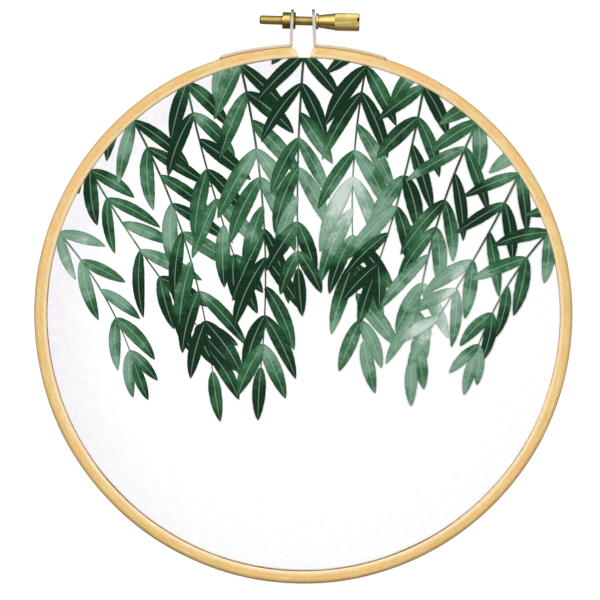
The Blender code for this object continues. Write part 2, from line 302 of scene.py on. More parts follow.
class NodeWeb:
    """Adds nodes to one shader tree and joins them."""

    def __init__(self, tree: bpy.types.NodeTree) -> None:
        """Takes the tree that is worked on."""
        self.tree = tree

    def node(self, kind: str, **settings: object) -> bpy.types.Node:
        """Adds one node.

        Args:
            kind: The node's type name.
            **settings: Its properties.

        Returns:
            The node.
        """
        made = self.tree.nodes.new(kind)
        for key, value in settings.items():
            setattr(made, key, value)
        made.location = (200 * (len(self.tree.nodes) % 12), -200 * (len(self.tree.nodes) // 12))
        return made

    def feed(self, target: Socket, value: object) -> None:
        """Links a socket to a target, or sets the target to a plain value.

        Args:
            target: The input.
            value: An output socket, a number or a colour.
        """
        if isinstance(value, bpy.types.NodeSocket):
            self.tree.links.new(value, target)
        elif target.type == "RGBA":
            target.default_value = (*value, 1.0)
        else:
            target.default_value = value

    def math(self, operation: str, *values: object, clamp: bool = False) -> Socket:
        """One sum.

        Args:
            operation: What is done with the values.
            *values: One to three numbers or sockets.
            clamp: Keeps the answer from 0 to 1.

        Returns:
            The answer.
        """
        made = self.node("ShaderNodeMath", operation=operation, use_clamp=clamp)
        for target, value in zip(made.inputs, values):
            self.feed(target, value)
        return made.outputs[0]

    def split(self, vector: Socket) -> tuple[Socket, Socket, Socket]:
        """Takes a vector apart.

        Args:
            vector: The vector.

        Returns:
            Its three parts.
        """
        made = self.node("ShaderNodeSeparateXYZ")
        self.feed(made.inputs[0], vector)
        return made.outputs[0], made.outputs[1], made.outputs[2]

    def vector(self, x: object, y: object, z: object) -> Socket:
        """Puts a vector together.

        Args:
            x: Its first part.
            y: Its second part.
            z: Its third part.

        Returns:
            The vector.
        """
        made = self.node("ShaderNodeCombineXYZ")
        for target, value in zip(made.inputs, (x, y, z)):
            self.feed(target, value)
        return made.outputs[0]

    def scaled(self, x: Socket, y: Socket, z: Socket, by: Colour) -> Socket:
        """A vector of three parts, each times its own number.

        Args:
            x: Its first part.
            y: Its second part.
            z: Its third part.
            by: The three numbers.

        Returns:
            The vector.
        """
        return self.vector(*(self.math("MULTIPLY", part, k) for part, k in zip((x, y, z), by)))

    def cloud(self, at: Socket, scale: float, detail: float = 2.0, rough: float = 0.5) -> Socket:
        """Soft noise of about 0.3 to 0.7.

        Args:
            at: Where it is read.
            scale: Its size.
            detail: How many finer layers it has.
            rough: How strong they are.

        Returns:
            The noise.
        """
        made = self.node("ShaderNodeTexNoise", noise_dimensions="3D")
        self.feed(made.inputs["Vector"], at)
        made.inputs["Scale"].default_value = scale
        made.inputs["Detail"].default_value = detail
        made.inputs["Roughness"].default_value = rough
        return made.outputs[0]

    def remap(
        self, value: object, low: object, high: object, to_low: float = 0.0, to_high: float = 1.0
    ) -> Socket:
        """Eases a value from one range into another.

        Args:
            value: The value.
            low: Where the range starts.
            high: Where it ends.
            to_low: The answer at its start.
            to_high: The answer at its end.

        Returns:
            The new value, which stays in the second range.
        """
        made = self.node("ShaderNodeMapRange", interpolation_type="SMOOTHSTEP")
        for target, number in zip(made.inputs, (value, low, high, to_low, to_high)):
            self.feed(target, number)
        return made.outputs[0]

    def tint(self, share: object, first: object, second: object) -> Socket:
        """Mixes two colours.

        Args:
            share: How much of the second is used.
            first: The first colour.
            second: The second colour.

        Returns:
            The mixed colour.
        """
        made = self.node("ShaderNodeMix", data_type="RGBA")
        self.feed(made.inputs[0], share)
        self.feed(made.inputs[6], first)
        self.feed(made.inputs[7], second)
        return made.outputs[2]

    def bump(self, height: Socket, distance: float, strength: float) -> Socket:
        """Turns a height from 0 to 1 into a normal.

        Args:
            height: The height.
            distance: How many metres a height of 1 is.
            strength: How strongly it shows.

        Returns:
            The normal.
        """
        made = self.node("ShaderNodeBump")
        made.inputs["Strength"].default_value = strength
        made.inputs["Distance"].default_value = distance
        self.feed(made.inputs["Height"], height)
        return made.outputs[0]

    def position(self) -> Socket:
        """The point in the piece's own frame, which moves with the piece."""
        return self.node("ShaderNodeTexCoord").outputs["Object"]


class Effect:
    """A shader node group that is built once and placed in each material that shows it."""

    name = ""
    inputs: dict[str, tuple[str, object]] = {}
    outputs: dict[str, str] = {}

    def wire(self, web: NodeWeb, given: dict[str, Socket]) -> dict[str, Socket]:
        """Lays out the group's nodes.

        Args:
            web: The group's tree.
            given: Its inputs by name.

        Returns:
            Its outputs by name.
        """
        raise NotImplementedError

    def tree(self) -> bpy.types.NodeTree:
        """The group's tree, built when it is first asked for.

        Returns:
            The tree.
        """
        found = bpy.data.node_groups.get(self.name)
        if found:
            return found
        tree = bpy.data.node_groups.new(self.name, "ShaderNodeTree")
        for key, (kind, start) in self.inputs.items():
            socket = tree.interface.new_socket(key, in_out="INPUT", socket_type=f"NodeSocket{kind}")
            socket.default_value = (*start, 1.0) if kind == "Color" else start
        for key, kind in self.outputs.items():
            tree.interface.new_socket(key, in_out="OUTPUT", socket_type=f"NodeSocket{kind}")
        web = NodeWeb(tree)
        entry, leave = web.node("NodeGroupInput"), web.node("NodeGroupOutput")
        made = self.wire(web, {key: entry.outputs[key] for key in self.inputs})
        for key, socket in made.items():
            tree.links.new(socket, leave.inputs[key])
        return tree

    def place(self, web: NodeWeb, values: dict[str, object]) -> dict[str, Socket]:
        """Places the group in a material.

        Args:
            web: The material's tree.
            values: Its inputs by name: numbers, colours or sockets.

        Returns:
            Its outputs by name.
        """
        made = web.node("ShaderNodeGroup", node_tree=self.tree())
        for key, value in values.items():
            web.feed(made.inputs[key], value)
        return {key: made.outputs[key] for key in self.outputs}


class RingCoordinates(Effect):
    """Measures a point along a bent strip of wood, across it and up it, in metres."""

    name = "Ring Coordinates"
    inputs = {
        "Position": ("Vector", (0, 0, 0)),
        "Centre": ("Vector", (0, 0, 0)),
        "Radius": ("Float", 0.08),
    }
    outputs = {"Along": "Float", "Out": "Float", "Up": "Float"}

    def wire(self, web: NodeWeb, given: dict[str, Socket]) -> dict[str, Socket]:
        """Lays out the group; its seam lies at the split.

        Args:
            web: The group's tree.
            given: Its inputs by name.

        Returns:
            Its outputs by name.
        """
        x, y, z = web.split(given["Position"])
        centre_x, centre_y, _ = web.split(given["Centre"])
        side, ahead = web.math("SUBTRACT", x, centre_x), web.math("SUBTRACT", y, centre_y)
        angle = web.math("ARCTAN2", side, web.math("MULTIPLY", ahead, -1.0))
        square = web.math("MULTIPLY_ADD", side, side, web.math("MULTIPLY", ahead, ahead))
        return {
            "Along": web.math("MULTIPLY", angle, given["Radius"]),
            "Out": web.math("SQRT", square),
            "Up": z,
        }


class WoodGrain(Effect):
    """Pale close-grained wood: long fibres, soft patches, short rays and fine pores."""

    name = "Wood Grain"
    inputs = {
        "Along": ("Float", 0.0),
        "Out": ("Float", 0.0),
        "Up": ("Float", 0.0),
        "Pale": ("Color", (0.9, 0.7, 0.4)),
        "Body": ("Color", (0.8, 0.55, 0.25)),
        "Warm": ("Color", (0.85, 0.5, 0.22)),
        "Ray": ("Color", (0.45, 0.25, 0.1)),
        "Rays": ("Float", 0.5),
        "Offset": ("Float", 0.0),
    }
    outputs = {"Color": "Color", "Fibre": "Float", "Height": "Float"}

    def wire(self, web: NodeWeb, given: dict[str, Socket]) -> dict[str, Socket]:
        """Lays out the group.

        Args:
            web: The group's tree.
            given: Its inputs by name.

        Returns:
            Its outputs by name.
        """
        along = web.math("ADD", given["Along"], given["Offset"])
        out, up = given["Out"], given["Up"]
        patch = web.cloud(web.scaled(along, out, up, (110, 420, 260)), 1.0, 3.0, 0.6)
        hue = web.cloud(web.scaled(along, out, up, (150, 420, 340)), 1.0, 3.0, 0.55)
        streak = web.cloud(web.scaled(along, out, up, (34, 1500, 1300)), 1.0, 4.0, 0.62)
        fibre = web.cloud(web.scaled(along, out, up, (160, 6800, 6200)), 1.0, 3.0, 0.6)
        ray = web.cloud(web.scaled(along, out, up, (520, 3300, 3100)), 1.0, 1.0)
        ray = web.remap(ray, 0.60, 0.70)
        fleck = web.cloud(web.scaled(along, out, up, (1000, 1900, 1900)), 1.0, 2.0)
        share = web.math("MULTIPLY_ADD", streak, 0.62, web.math("MULTIPLY", patch, 0.38))
        colour = web.tint(web.remap(share, 0.36, 0.64), given["Body"], given["Pale"])
        colour = web.tint(web.remap(hue, 0.44, 0.60, 0.0, 0.9), colour, given["Warm"])
        colour = web.tint(web.remap(fibre, 0.32, 0.52, 0.22, 0.0), colour, given["Ray"])
        colour = web.tint(web.remap(fleck, 0.40, 0.60, 0.13, 0.0), colour, given["Ray"])
        colour = web.tint(web.math("MULTIPLY", ray, given["Rays"]), colour, given["Ray"])
        low = web.math("MULTIPLY_ADD", ray, -0.5, fibre)
        height = web.math("MULTIPLY_ADD", streak, 0.5, low)
        return {"Color": colour, "Fibre": fibre, "Height": height}


class PlainWeave(Effect):
    """Threads that pass over and under each other, a little uneven in width and spacing."""

    name = "Plain Weave"
    inputs = {
        "Position": ("Vector", (0, 0, 0)),
        "Pitch": ("Float", 0.0004),
        "Slubs": ("Float", 0.5),
    }
    outputs = {"Height": "Float", "Gap": "Float", "Mottle": "Float"}
    waver_scale = 260.0
    waver_threads = 0.9
    thread_shift = 7.31
    slub_scale = 130.0
    under_height = 0.45

    def wire(self, web: NodeWeb, given: dict[str, Socket]) -> dict[str, Socket]:
        """Lays out the group.

        Args:
            web: The group's tree.
            given: Its inputs by name.

        Returns:
            Its outputs by name.
        """
        x, y, _ = web.split(given["Position"])
        waver = web.math("SUBTRACT", web.cloud(given["Position"], self.waver_scale, 2.0), 0.5)
        threads = []
        for line, cross in ((x, y), (y, x)):
            count = web.math("DIVIDE", line, given["Pitch"])
            count = web.math("MULTIPLY_ADD", waver, self.waver_threads, count)
            thread = web.math("FLOOR", count)
            rise = web.math("ABSOLUTE", web.math("SINE", web.math("MULTIPLY", count, math.pi)))
            shift = web.math("MULTIPLY", thread, self.thread_shift)
            run = web.vector(shift, web.math("MULTIPLY", cross, self.slub_scale), 0.0)
            slub = web.math("SUBTRACT", web.cloud(run, 1.0, 2.0), 0.5)
            slub = web.math("MULTIPLY", slub, given["Slubs"])
            threads.append((thread, rise, slub))
        (warp, warp_rise, warp_slub), (weft, weft_rise, weft_slub) = threads
        over = web.math("PINGPONG", web.math("ADD", warp, weft), 1.0)
        under = web.math("SUBTRACT", 1.0, over)
        low, lift = self.under_height, 1 - self.under_height
        warp_high = web.math("MULTIPLY", web.math("MULTIPLY_ADD", over, lift, low), warp_rise)
        weft_high = web.math("MULTIPLY", web.math("MULTIPLY_ADD", under, lift, low), weft_rise)
        warp_high = web.math("ADD", warp_high, warp_slub)
        weft_high = web.math("ADD", weft_high, weft_slub)
        height = web.math("MAXIMUM", warp_high, weft_high, clamp=True)
        gap = web.remap(height, 0.48, 0.22)
        broad = web.cloud(web.scaled(x, y, x, (420, 420, 0)), 1.0, 3.0, 0.65)
        mottle = web.math("ADD", broad, web.math("ADD", warp_slub, weft_slub))
        return {"Height": height, "Gap": gap, "Mottle": mottle}


class WatercolourWash(Effect):
    """Green paint that pools dark and thins to pale, with darker leaf edges and a fine midrib."""

    name = "Watercolour Wash"
    inputs = {
        "Position": ("Vector", (0, 0, 0)),
        "Leaf Place": ("Vector", (0, 0, 0)),
        "Deep": ("Color", (0, 0.03, 0.01)),
        "Middle": ("Color", (0.03, 0.11, 0.05)),
        "Light": ("Color", (0.16, 0.3, 0.2)),
        "Pale": ("Color", (0.45, 0.58, 0.48)),
    }
    outputs = {"Color": "Color"}

    def wire(self, web: NodeWeb, given: dict[str, Socket]) -> dict[str, Socket]:
        """Lays out the group.

        Args:
            web: The group's tree.
            given: Its inputs by name.

        Returns:
            Its outputs by name.
        """
        along, across, tone = web.split(given["Leaf Place"])
        pool = web.cloud(given["Position"], 34.0, 2.0, 0.45)
        run = web.cloud(given["Position"], 190.0, 3.0, 0.6)
        grain = web.cloud(given["Position"], 1500.0, 2.0, 0.6)
        wash = web.math("MULTIPLY_ADD", run, 0.32, web.math("MULTIPLY", pool, 0.9))
        wash = web.math("ADD", wash, web.math("MULTIPLY", web.math("SUBTRACT", tone, 0.5), 0.21))
        wash = web.math("ADD", wash, web.math("MULTIPLY", web.math("SUBTRACT", grain, 0.5), 0.10))
        wash = web.math("MULTIPLY_ADD", web.math("SUBTRACT", along, 0.5), -0.06, wash)
        colour = web.tint(web.remap(wash, 0.52, 0.66), given["Deep"], given["Middle"])
        colour = web.tint(web.remap(wash, 0.64, 0.76), colour, given["Light"])
        colour = web.tint(web.remap(wash, 0.78, 0.92), colour, given["Pale"])
        off = web.math("ABSOLUTE", across)
        colour = web.tint(web.remap(off, 0.72, 1.0, 0.0, 0.35), colour, given["Deep"])
        rib = web.remap(off, 0.10, 0.04, 0.0, 0.32)
        return {"Color": web.tint(rib, colour, given["Pale"])}


class TurnedCoordinates(Effect):
    """Measures a point on a turned part: along its axis, out from it and round it."""

    name = "Turned Coordinates"
    inputs = {
        "Position": ("Vector", (0, 0, 0)),
        "Axis Y": ("Float", 0.0),
        "Axis Z": ("Float", 0.0),
        "Lean": ("Float", 0.0),
    }
    outputs = {"Along": "Float", "Out": "Float", "Round": "Float"}

    def wire(self, web: NodeWeb, given: dict[str, Socket]) -> dict[str, Socket]:
        """Lays out the group.

        Args:
            web: The group's tree.
            given: Its inputs by name.

        Returns:
            Its outputs by name.
        """
        x, y, z = web.split(given["Position"])
        up = web.math("SUBTRACT", z, given["Axis Z"])
        side = web.math("SUBTRACT", y, given["Axis Y"])
        side = web.math("SUBTRACT", side, web.math("MULTIPLY", x, given["Lean"]))
        square = web.math("MULTIPLY_ADD", side, side, web.math("MULTIPLY", up, up))
        return {"Along": x, "Out": web.math("SQRT", square), "Round": web.math("ARCTAN2", side, up)}


class MetalWear(Effect):
    """Fine working lines, small scratches and dull spots on metal."""

    name = "Metal Wear"
    inputs = {"First": ("Float", 0.0), "Second": ("Float", 0.0), "Third": ("Float", 0.0)}
    outputs = {"Lines": "Float", "Dull": "Float", "Scratch": "Float"}

    def wire(self, web: NodeWeb, given: dict[str, Socket]) -> dict[str, Socket]:
        """Lays out the group; the working lines cross the first direction.

        Args:
            web: The group's tree.
            given: Its inputs by name.

        Returns:
            Its outputs by name.
        """
        parts = given["First"], given["Second"], given["Third"]
        lines = web.cloud(web.scaled(*parts, (9000, 120, 120)), 1.0, 3.0, 0.7)
        dull = web.cloud(web.scaled(*parts, (420, 420, 420)), 1.0, 4.0, 0.6)
        scratch = web.remap(web.cloud(web.scaled(*parts, (700, 5200, 900)), 1.0, 2.0), 0.66, 0.72)
        return {"Lines": lines, "Dull": web.remap(dull, 0.42, 0.68), "Scratch": scratch}


RING_COORDINATES = RingCoordinates()
WOOD_GRAIN = WoodGrain()
PLAIN_WEAVE = PlainWeave()
WATERCOLOUR = WatercolourWash()
TURNED_COORDINATES = TurnedCoordinates()
METAL_WEAR = MetalWear()


def new_material(name: str) -> tuple[bpy.types.Material, NodeWeb, bpy.types.Node]:
    """Starts a material.

    Args:
        name: The material's name.

    Returns:
        The material, its web of nodes and its Principled shader.
    """
    material = bpy.data.materials.new(name)
    material.use_nodes = True
    return material, NodeWeb(material.node_tree), material.node_tree.nodes["Principled BSDF"]


# Finishes


@dataclass(frozen=True)
class WoodFinish:
    """Satin or bare pale wood, bent so that its grain runs round the hoop."""

    name: str
    pale: Colour
    body: Colour
    warm: Colour
    ray: Colour
    # Colour of the painted highlight and lighter wear on the inner edge; the split ends lighten to
    # it too.
    highlight_and_wear: Colour
    rays: float
    gloss: float
    offset: float
    sanded: float = 0.0
    # Painted shade towards the ring's outer edge: how wide it is and how strong.
    edge_width: float = 1.5 * MM
    edge_shade: float = 0.42
    # Painted highlight and lighter wear towards the inner edge: where it starts, where it is full
    # and how strong.
    highlight_from: float = 2.3 * MM
    highlight_to: float = 3.3 * MM
    highlight_share: float = 0.5
    sanded_from: float = 4.4 * MM
    sanded_to: float = 2.9 * MM
    fibre_play: float = 0.12
    relief: float = 0.05 * MM

    def material(self, place: "HoopPlace") -> bpy.types.Material:
        """The wood's material.

        Args:
            place: Where the hoop lies.

        Returns:
            The material.
        """
        material, web, shader = new_material(self.name)
        spot = place.measured(web, web.position())
        values = {
            **spot,
            "Pale": self.pale,
            "Body": self.body,
            "Warm": self.warm,
            "Ray": self.ray,
            "Rays": self.rays,
            "Offset": self.offset,
        }
        grain = WOOD_GRAIN.place(web, values)
        radius, half_turn = place.radius, math.pi * place.radius
        # Painted shade: the wood darkens towards its outer edge, tinted with the ray colour.
        edge = web.remap(spot["Out"], radius - self.edge_width, radius, 0.0, self.edge_shade)
        colour = web.tint(edge, grain["Color"], self.ray)
        # Painted highlight and lighter wear make the wood paler towards its inner edge.
        inside = (radius - self.highlight_from, radius - self.highlight_to)
        highlight_and_wear = web.remap(spot["Out"], *inside, 0.0, self.highlight_share)
        at_split = (half_turn - self.sanded_from, half_turn - self.sanded_to)
        sanded = web.remap(web.math("ABSOLUTE", spot["Along"]), *at_split, 0.0, self.sanded)
        highlight_and_wear = web.math("MAXIMUM", highlight_and_wear, sanded)
        web.feed(shader.inputs["Base Color"], web.tint(highlight_and_wear, colour, self.highlight_and_wear))
        rough = web.remap(grain["Fibre"], 0.3, 0.7, self.gloss + self.fibre_play, self.gloss)
        web.feed(shader.inputs["Roughness"], rough)
        web.feed(shader.inputs["Normal"], web.bump(grain["Height"], self.relief, 0.6))
        shader.inputs["Specular IOR Level"].default_value = 0.35
        return material


@dataclass(frozen=True)
class ClothFinish:
    """White plain-woven cotton."""

    name: str = "white_cotton"
    white: Colour = (0.888, 0.885, 0.886)
    shade: Colour = (0.858, 0.854, 0.859)
    # Colour of the painted shade towards the left of the rim.
    edge: Colour = (0.752, 0.728, 0.776)
    pitch: float = 0.42 * MM
    slubs: float = 0.35
    relief: float = 0.05 * MM
    gap_shade: float = 0.25
    rim_shade_from: float = 28 * MM
    rim_shade_to: float = 4.5 * MM
    right_shade_share: float = 0.15

    def material(self, place: "HoopPlace") -> bpy.types.Material:
        """The cloth's material, with a little cool grey painted shade towards the left of its rim.

        Args:
            place: Where the hoop lies.

        Returns:
            The material.
        """
        material, web, shader = new_material(self.name)
        at = web.position()
        weave = PLAIN_WEAVE.place(web, {"Position": at, "Pitch": self.pitch, "Slubs": self.slubs})
        colour = web.tint(web.remap(weave["Mottle"], 0.66, 0.36), self.white, self.shade)
        colour = web.tint(web.math("MULTIPLY", weave["Gap"], self.gap_shade), colour, self.shade)
        spot, radius = place.measured(web, at), place.radius
        # Painted shade: the cloth turns cooler and greyer towards the left of its rim, most near
        # it.
        bottom, left = -0.12 * radius, -QUARTER * radius
        leftward = web.remap(spot["Along"], bottom, left, self.right_shade_share, 1.0)
        rim = web.remap(spot["Out"], radius - self.rim_shade_from, radius - self.rim_shade_to)
        rim = web.math("MULTIPLY", rim, rim)
        rim = web.math("MULTIPLY", rim, web.remap(weave["Mottle"], 0.2, 0.8, 1.0, 0.6))
        colour = web.tint(web.math("MULTIPLY", rim, leftward), colour, self.edge)
        web.feed(shader.inputs["Base Color"], colour)
        web.feed(shader.inputs["Roughness"], web.remap(weave["Height"], 0.2, 0.9, 0.95, 0.8))
        web.feed(shader.inputs["Normal"], web.bump(weave["Height"], self.relief, 0.5))
        shader.inputs["Sheen Weight"].default_value = 0.15
        shader.inputs["Sheen Roughness"].default_value = 0.6
        shader.inputs["Specular IOR Level"].default_value = 0.2
        return material


@dataclass(frozen=True)
class PrintFinish:
    """Green watercolour print on the same cloth, thinner where the weave opens."""

    cloth: ClothFinish
    name: str = "leaf_green_print"
    deep: Colour = linear(0, 42, 18)
    middle: Colour = linear(44, 96, 60)
    light: Colour = linear(112, 148, 126)
    pale: Colour = linear(188, 204, 192)
    bare_share: float = 0.06

    def material(self) -> bpy.types.Material:
        """The print's material.

        Returns:
            The material.
        """
        material, web, shader = new_material(self.name)
        at = web.position()
        leaf = web.node("ShaderNodeAttribute", attribute_name="leaf_place")
        paint = {
            "Position": at,
            "Leaf Place": leaf.outputs["Vector"],
            "Deep": self.deep,
            "Middle": self.middle,
            "Light": self.light,
            "Pale": self.pale,
        }
        wash = WATERCOLOUR.place(web, paint)["Color"]
        threads = {"Position": at, "Pitch": self.cloth.pitch, "Slubs": self.cloth.slubs}
        weave = PLAIN_WEAVE.place(web, threads)
        speck = web.math("MULTIPLY", weave["Gap"], self.bare_share)
        web.feed(shader.inputs["Base Color"], web.tint(speck, wash, self.cloth.shade))
        web.feed(shader.inputs["Roughness"], web.remap(weave["Height"], 0.2, 0.9, 0.95, 0.82))
        web.feed(shader.inputs["Normal"], web.bump(weave["Height"], self.cloth.relief, 0.5))
        shader.inputs["Specular IOR Level"].default_value = 0.05
        return material


@dataclass(frozen=True)
class MetalFinish:
    """Brass or plated steel with fine wear.

    On a turned part, painted shade in the grooves and on the low side is placed by the distance
    from its axis and the side it faces, and painted shade on the flange by the distance along it.
    A strip's painted reflection of the wood is placed from the ring's outside.
    """

    name: str
    bright: Colour
    dull: Colour
    roughness: float
    worked: Metal
    # Painted shade on a turned part: its colour and where it starts and is full in the grooves and
    # bore.
    painted_shade: Colour | None = None
    shade_out: float = 0.0
    crest_out: float = 0.0
    groove_shade_share: float = 0.85
    # Painted shade on the flange: the X past which it is dark and how soft its edge is.
    flange_shade_from: float = 1.0
    flange_shade_edge: float = 0.1 * MM
    # Painted shade on a turned part's low side: how strong, and where it starts and is full.
    low_side_shade: float = 0.0
    low_shade_from: float = 0.4 * MM
    low_shade_to: float = -1.2 * MM
    # Painted reflection of the wood on a strip: its colour and where it fades out above the ring.
    wood_reflection: Colour | None = None
    reflection_above: float = 1.6 * MM
    reflection_near: float = 0.6 * MM
    dull_share: float = 0.7
    wear_play: float = 0.12
    line_depth: float = 0.008 * MM
    unit_radius: float = 1.5 * MM

    def painted_shade_mask(self, web: NodeWeb, turned: dict[str, Socket]) -> Socket:
        """Where a turned part gets painted shade: in its grooves and bore, on its flange and on its
        low side.

        Args:
            web: The material's tree.
            turned: The turned coordinates.

        Returns:
            The mask.
        """
        along, out = turned["Along"], turned["Out"]
        # Painted shade in the grooves and bore.
        deep = web.remap(out, self.crest_out, self.shade_out, 0.0, self.groove_shade_share)
        # Painted shade on the flange.
        flange_shade = web.remap(along, self.flange_shade_from - self.flange_shade_edge, self.flange_shade_from)
        deep = web.math("MAXIMUM", deep, flange_shade)
        # Painted shade on the low side, away from the light.
        low_side = web.math("MULTIPLY", web.math("SINE", turned["Round"]), out)
        low_side_shade = web.remap(low_side, self.low_shade_from, self.low_shade_to, 0.0, self.low_side_shade)
        return web.math("MAXIMUM", deep, low_side_shade)

    def wood_reflection_mask(self, web: NodeWeb, at: Socket, place: "HoopPlace") -> Socket:
        """Where a strip lies on the wood and gets a painted reflection of its colour, most where it
        faces up.

        Args:
            web: The material's tree.
            at: The point in the piece's own frame.
            place: Where the hoop lies.

        Returns:
            The mask.
        """
        spot, radius = place.measured(web, at), place.radius
        # Painted reflection of the wood, strongest close above the ring.
        low = web.remap(spot["Out"], radius + self.reflection_above, radius + self.reflection_near)
        _, _, facing = web.split(web.node("ShaderNodeTexCoord").outputs["Normal"])
        edge = web.remap(web.math("ABSOLUTE", facing), 0.35, 0.75, 0.3, 1.0)
        return web.math("MULTIPLY", low, edge)

    def material(self, place: "HoopPlace") -> bpy.types.Material:
        """The metal's material.

        Args:
            place: Where the hoop lies.

        Returns:
            The material.
        """
        material, web, shader = new_material(self.name)
        at = web.position()
        if self.worked is Metal.TURNED:
            axis = {
                "Position": at,
                "Axis Y": place.screw_y,
                "Axis Z": place.screw_z,
                "Lean": place.screw_lean,
            }
            turned = TURNED_COORDINATES.place(web, axis)
            arc_length = web.math("MULTIPLY", turned["Round"], self.unit_radius)
            parts = turned["Along"], arc_length, turned["Out"]
            deep = self.painted_shade_mask(web, turned)
        else:
            x, y, z = web.split(at)
            parts, deep = (z, x, y), None
        wear = METAL_WEAR.place(web, dict(zip(("First", "Second", "Third"), parts)))
        dull = web.math("MULTIPLY", wear["Dull"], self.dull_share)
        colour = web.tint(dull, self.bright, self.dull)
        rough = web.math("MULTIPLY_ADD", wear["Dull"], self.wear_play, self.roughness)
        rough = web.math("MULTIPLY_ADD", wear["Scratch"], self.wear_play, rough)
        shader.inputs["Metallic"].default_value = 1.0
        # Painted reflection: the strip takes on the wood's colour near the ring and is less
        # metallic there.
        if self.wood_reflection is not None:
            low = self.wood_reflection_mask(web, at, place)
            colour = web.tint(low, colour, self.wood_reflection)
            web.feed(shader.inputs["Metallic"], web.math("MULTIPLY_ADD", low, -0.6, 1.0))
        # Painted shade: grooves, bore, flange and the low side are tinted dark and made rougher.
        if deep is not None:
            colour = web.tint(deep, colour, self.painted_shade)
            rough = web.math("MULTIPLY_ADD", deep, 0.3, rough)
        web.feed(shader.inputs["Base Color"], colour)
        web.feed(shader.inputs["Roughness"], rough)
        web.feed(shader.inputs["Normal"], web.bump(wear["Lines"], self.line_depth, 0.5))
        return material


# Place


@dataclass(frozen=True)
class HoopPlace:
    """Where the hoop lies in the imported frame, and where its screw's axis runs."""

    centre_y: float
    depth: float
    screw_y: float
    screw_z: float
    screw_lean: float
    centre_x: float = 0.1 * MM
    radius: float = 81.1 * MM
    draw: float = 0.22 * MM
    draw_full: float = math.radians(15)
    draw_end: float = math.radians(29)
    wall_play: float = 0.13 * MM
    thickest_at: float = math.radians(198)
    strip_x: float = 25.2 * MM
    left_rise: float = 0.32 * MM
    right_rise: float = 0.12 * MM

    @classmethod
    def from_frame(cls) -> "HoopPlace":
        """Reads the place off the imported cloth, ring and screw.

        Returns:
            The place.
        """
        cloth_low, cloth_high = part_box("cloth")
        ring_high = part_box("outer_ring")[1]
        turn = frame["joints"][0]
        _, screw_y, screw_z = turn["pos_m"]
        lean = math.atan2(turn["axis"][1], turn["axis"][0])
        return cls((cloth_low.y + cloth_high.y) / 2, ring_high.z, screw_y, screw_z, lean)

    @property
    def centre(self) -> tuple[float, float, float]:
        """The hoop's middle on the floor."""
        return self.centre_x, self.centre_y, 0.0

    @property
    def strip_angle(self) -> float:
        """The angle from the split to the far end of a bracket's strip."""
        return math.asin(self.strip_x / self.radius)

    def measured(self, web: NodeWeb, at: Socket) -> dict[str, Socket]:
        """Measures a point of a material round the hoop, out from its axis and up.

        Args:
            web: The material's tree.
            at: The point.

        Returns:
            The ring coordinates by name.
        """
        values = {"Position": at, "Centre": self.centre, "Radius": self.radius}
        return RING_COORDINATES.place(web, values)

    def drawn_in(self, angle: float) -> float:
        """How far the hoop is drawn in beside the split, where the screw pulls on it.

        Args:
            angle: The angle round the hoop.

        Returns:
            The distance.
        """
        from_split = abs(angle % math.tau - QUARTER)
        return self.draw * smooth(from_split, self.draw_end, self.draw_full)

    def thicker(self, angle: float) -> float:
        """How much further in the outer ring's inner face lies, most of all at its lower left.

        Args:
            angle: The angle round the hoop.

        Returns:
            The distance.
        """
        return self.wall_play * smooth(math.cos(angle - self.thickest_at), -0.1, 1.0)

    def strip_rise(self, angle: float) -> float:
        """How far a bracket's strip stands proud of where it starts, towards its far end.

        Args:
            angle: The angle round the hoop.

        Returns:
            The distance.
        """
        off = angle % math.tau - QUARTER
        rise = self.left_rise if off > 0 else self.right_rise
        return rise * smooth(abs(off) / self.strip_angle, 0.35, 1.0)

    def polar(self, out: float, angle: float, up: float) -> Vector:
        """A point of the hoop.

        Args:
            out: Its distance from the hoop's axis.
            angle: Its angle round the hoop, from +X.
            up: Its height.

        Returns:
            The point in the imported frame.
        """
        x = self.centre_x + out * math.cos(angle)
        return Vector((x, self.centre_y + out * math.sin(angle), up))

    def screw_frame(self) -> Matrix:
        """The screw's own frame, with its axis along X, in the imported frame."""
        lean = Matrix.Rotation(self.screw_lean, 4, "Z")
        return Matrix.Translation((0, self.screw_y, self.screw_z)) @ lean

    def round_screw(self, along: float, out: float, angle: float) -> Vector:
        """A point on a part that is turned about the screw's axis.

        Args:
            along: How far along the axis it lies.
            out: Its distance from the axis.
            angle: Its angle round the axis, from +Y towards +Z.

        Returns:
            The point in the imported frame.
        """
        return self.screw_frame() @ Vector((along, out * math.cos(angle), out * math.sin(angle)))

    def ring_loops(self, sections: list[tuple[float, Section]]) -> list[Loop]:
        """Stands sections round the hoop.

        Args:
            sections: Pairs of an angle and a section of (out, up) points.

        Returns:
            The loops of points.
        """
        return [[self.polar(out, angle, up) for out, up in section] for angle, section in sections]

    def turned_loops(self, stations: Section, columns: int, shape: RadiusRule) -> list[Loop]:
        """Loops round the screw's axis.

        Args:
            stations: Pairs of an X and a radius.
            columns: Points in each loop.
            shape: Gives a point's radius from its X, its angle and the station's radius.

        Returns:
            The loops of points.
        """
        turns = [math.tau * i / columns for i in range(columns)]
        return [[self.round_screw(x, shape(x, a, r), a) for a in turns] for x, r in stations]


def plain_radius(_along: float, _angle: float, radius: float) -> float:
    """The radius of a part that is round everywhere."""
    return radius


# Wooden rings


